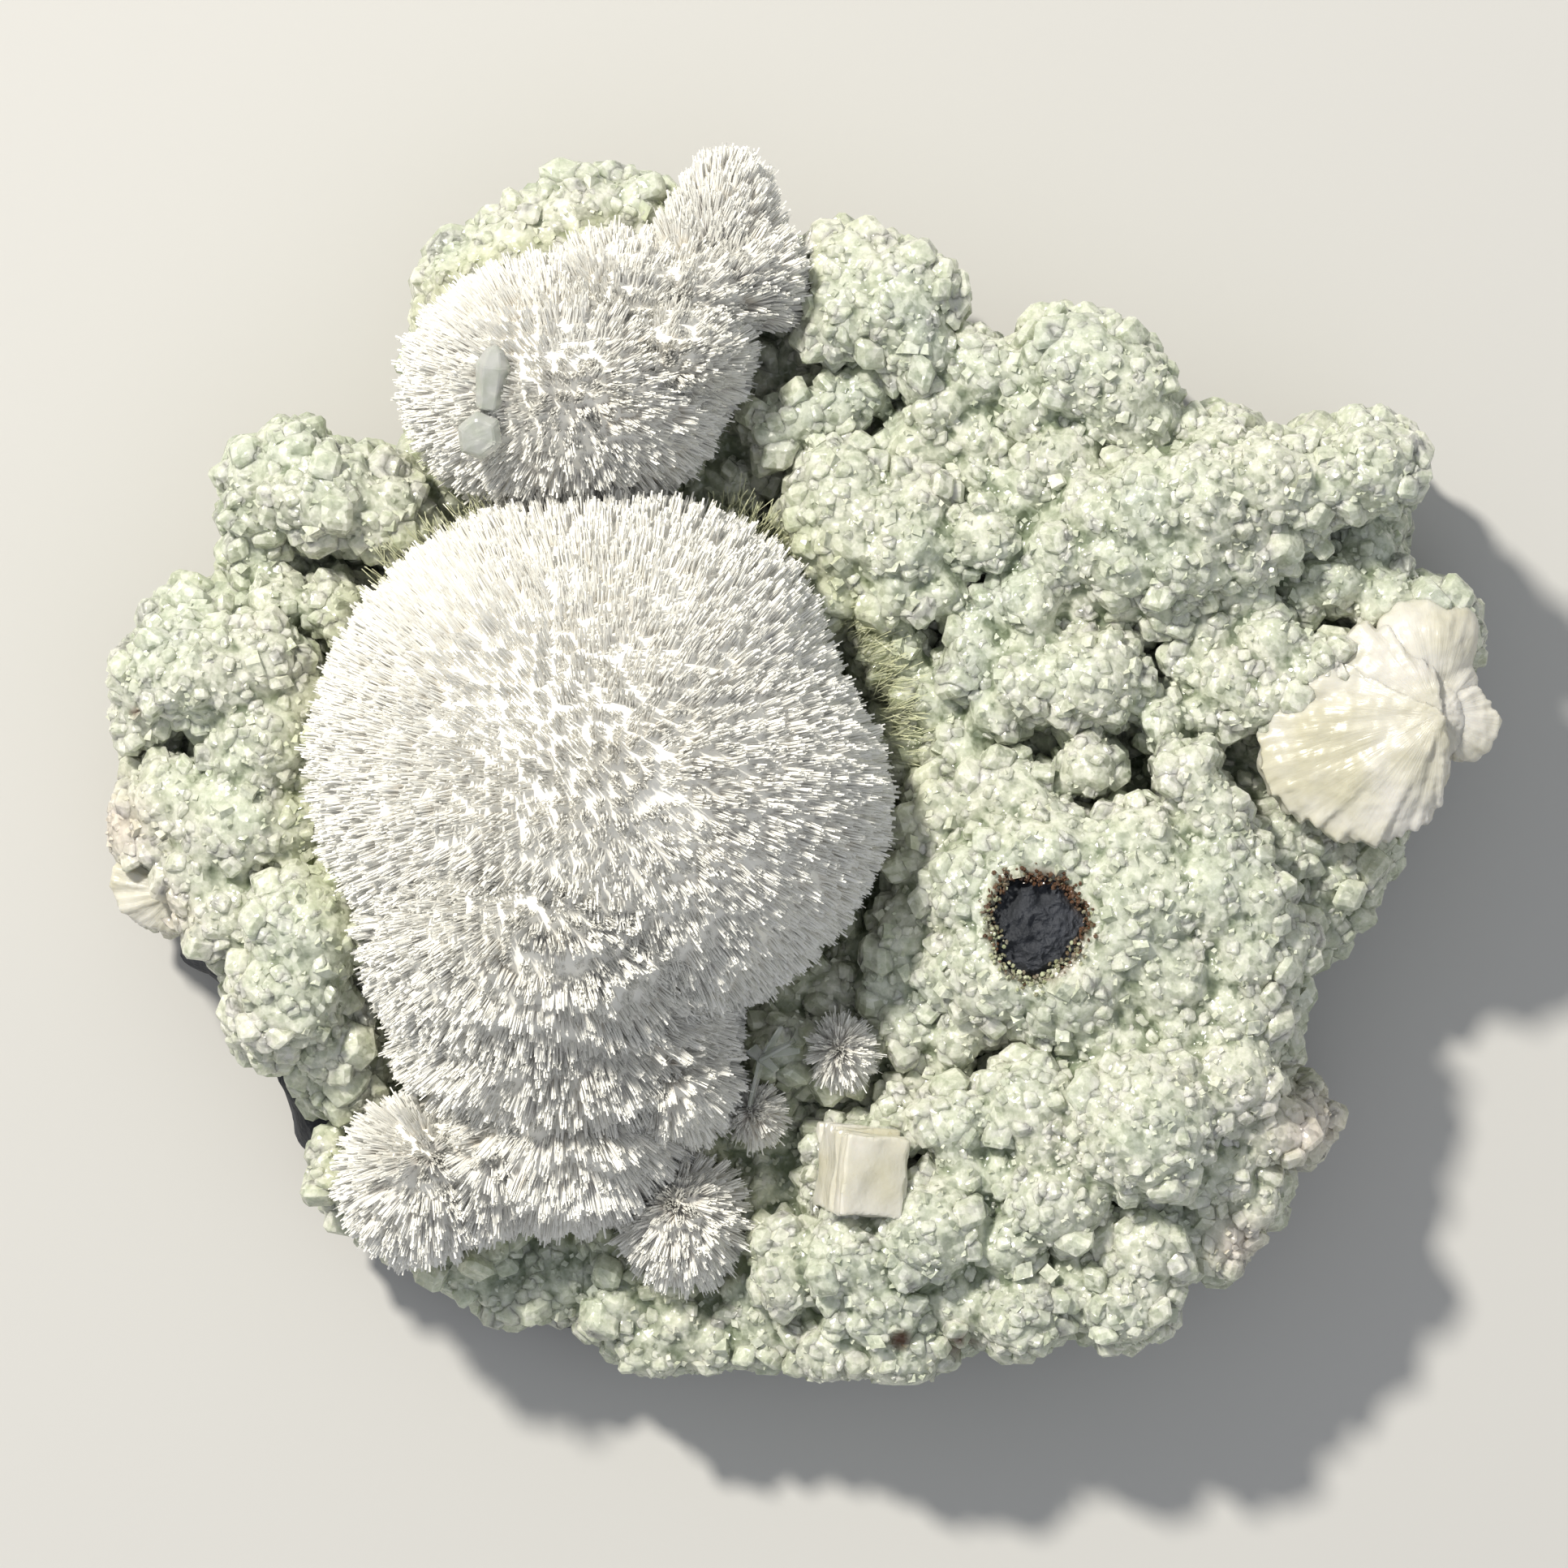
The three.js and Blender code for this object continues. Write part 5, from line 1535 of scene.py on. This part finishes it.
block = block_crystal(BLOCK_MIDDLE, BLOCK_SIZE, BLOCK_TURNS, PLATES)
add_piece("stilbite_block_plates", block, stilbite, "stilbite", "stilbite_block")

# %% [markdown]
# ## Clear crystals
# Two calcite crystals lie on the upper puff: a pointed prism and a stubby one that shows its end. Each is
# lofted through rings of six corners, like turned work with six sides, and a bevel gives it the narrow
# bright edge facets of the real one.

# %% Two crystals on the upper puff
POINTED_RINGS = ((-3.2, 0), (-2.9, 1.6), (1.4, 2.2), (2.9, 1.2), (3.5, 0))  # height, radius
STUBBY_RINGS = ((-2.8, 0), (-2.6, 1.8), (1.0, 2.6), (2.0, 1.9), (2.3, 0))
LONG_CRYSTAL, ROUND_CRYSTAL = "puff_crystal_long", "puff_crystal_round"
PRISMS = (  # piece, rings, middle, direction, how wide it is across, bevel, node
    ("pointed_crystal", POINTED_RINGS, (-30.2, 37.9, 45.2), (0.12, 1, 0.22), 0.8, 0.12, LONG_CRYSTAL),
    ("stubby_crystal", STUBBY_RINGS, (-31.3, 32.6, 43.4), (-0.1, -0.25, 1), 0.92, 0.15, ROUND_CRYSTAL),
)


def facing(direction):
    """The rotation that takes +Z to a direction."""
    return Vector(direction).to_track_quat("Z", "X").to_matrix()


def prism(name, rings, middle, aim, flat, bevel):
    shape = bmesh.new()
    for (low, low_radius), (high, high_radius) in zip(rings, rings[1:]):
        made = bmesh.ops.create_cone(
            shape, cap_ends=False, segments=6, radius1=low_radius, radius2=high_radius, depth=high - low
        )["verts"]
        bmesh.ops.translate(shape, verts=made, vec=(0, 0, (low + high) / 2))
    bmesh.ops.remove_doubles(shape, verts=shape.verts[:], dist=1e-3)
    bmesh.ops.recalc_face_normals(shape, faces=shape.faces[:])
    bmesh.ops.scale(shape, verts=shape.verts[:], vec=(1, flat, 1))
    bevelled(shape, bevel)
    bmesh.ops.rotate(shape, verts=shape.verts[:], matrix=facing(Vector(aim).normalized()))
    bmesh.ops.translate(shape, verts=shape.verts[:], vec=in_frame(middle))
    mesh = finished(shape, name)
    smooth_all(mesh, False)
    return mesh


for name, *measures, node in PRISMS:
    add_piece(name, prism(name, *measures), clear_calcite, "clear_calcite", node)

# %% [markdown]
# A group of thin clear blades stands at the large puff's lower right. Each is a flat box that narrows to
# its tip, and all of them are bevelled together.

# %% Thin blades
BLADES = (  # middle, length, width, thickness, direction it points in, roll in degrees
    ((-2.4, -28.2, 30.0), 3.8, 1.5, 0.35, (0.8, 0.4, 0.5), 20),
    ((-2.6, -27.2, 29.4), 3.2, 1.3, 0.3, (0.5, 0.9, 0.35), -35),
    ((-3.6, -29.2, 29.2), 3.8, 1.5, 0.35, (0.6, -0.5, 0.4), 60),
    ((-1.4, -28.4, 28.8), 3.0, 1.2, 0.3, (1, 0.05, 0.4), 80),
    ((-4.4, -31.4, 28.4), 5.4, 2.1, 0.4, (-0.25, -1, 0.1), 12),
)
BLADE_TIP = (0.45, 0.8, 1)
BLADE_BEVEL = 0.06

shape = bmesh.new()
for middle, long, wide, thick, aim, roll in BLADES:
    made = bmesh.ops.create_cube(shape, size=1)["verts"]
    bmesh.ops.scale(shape, verts=made, vec=(wide, thick, long))
    bmesh.ops.scale(shape, verts=[v for v in made if v.co.z > 0], vec=BLADE_TIP)
    turn = facing(aim) @ Matrix.Rotation(math.radians(roll), 3, "Z")
    bmesh.ops.rotate(shape, verts=made, matrix=turn)
    bmesh.ops.translate(shape, verts=made, vec=in_frame(middle))
bevelled(shape, BLADE_BEVEL)
thin_blades = finished(shape, "thin_blades")
smooth_all(thin_blades, False)
add_piece("thin_blades", thin_blades, clear_calcite, "clear_calcite", "clear_blades")
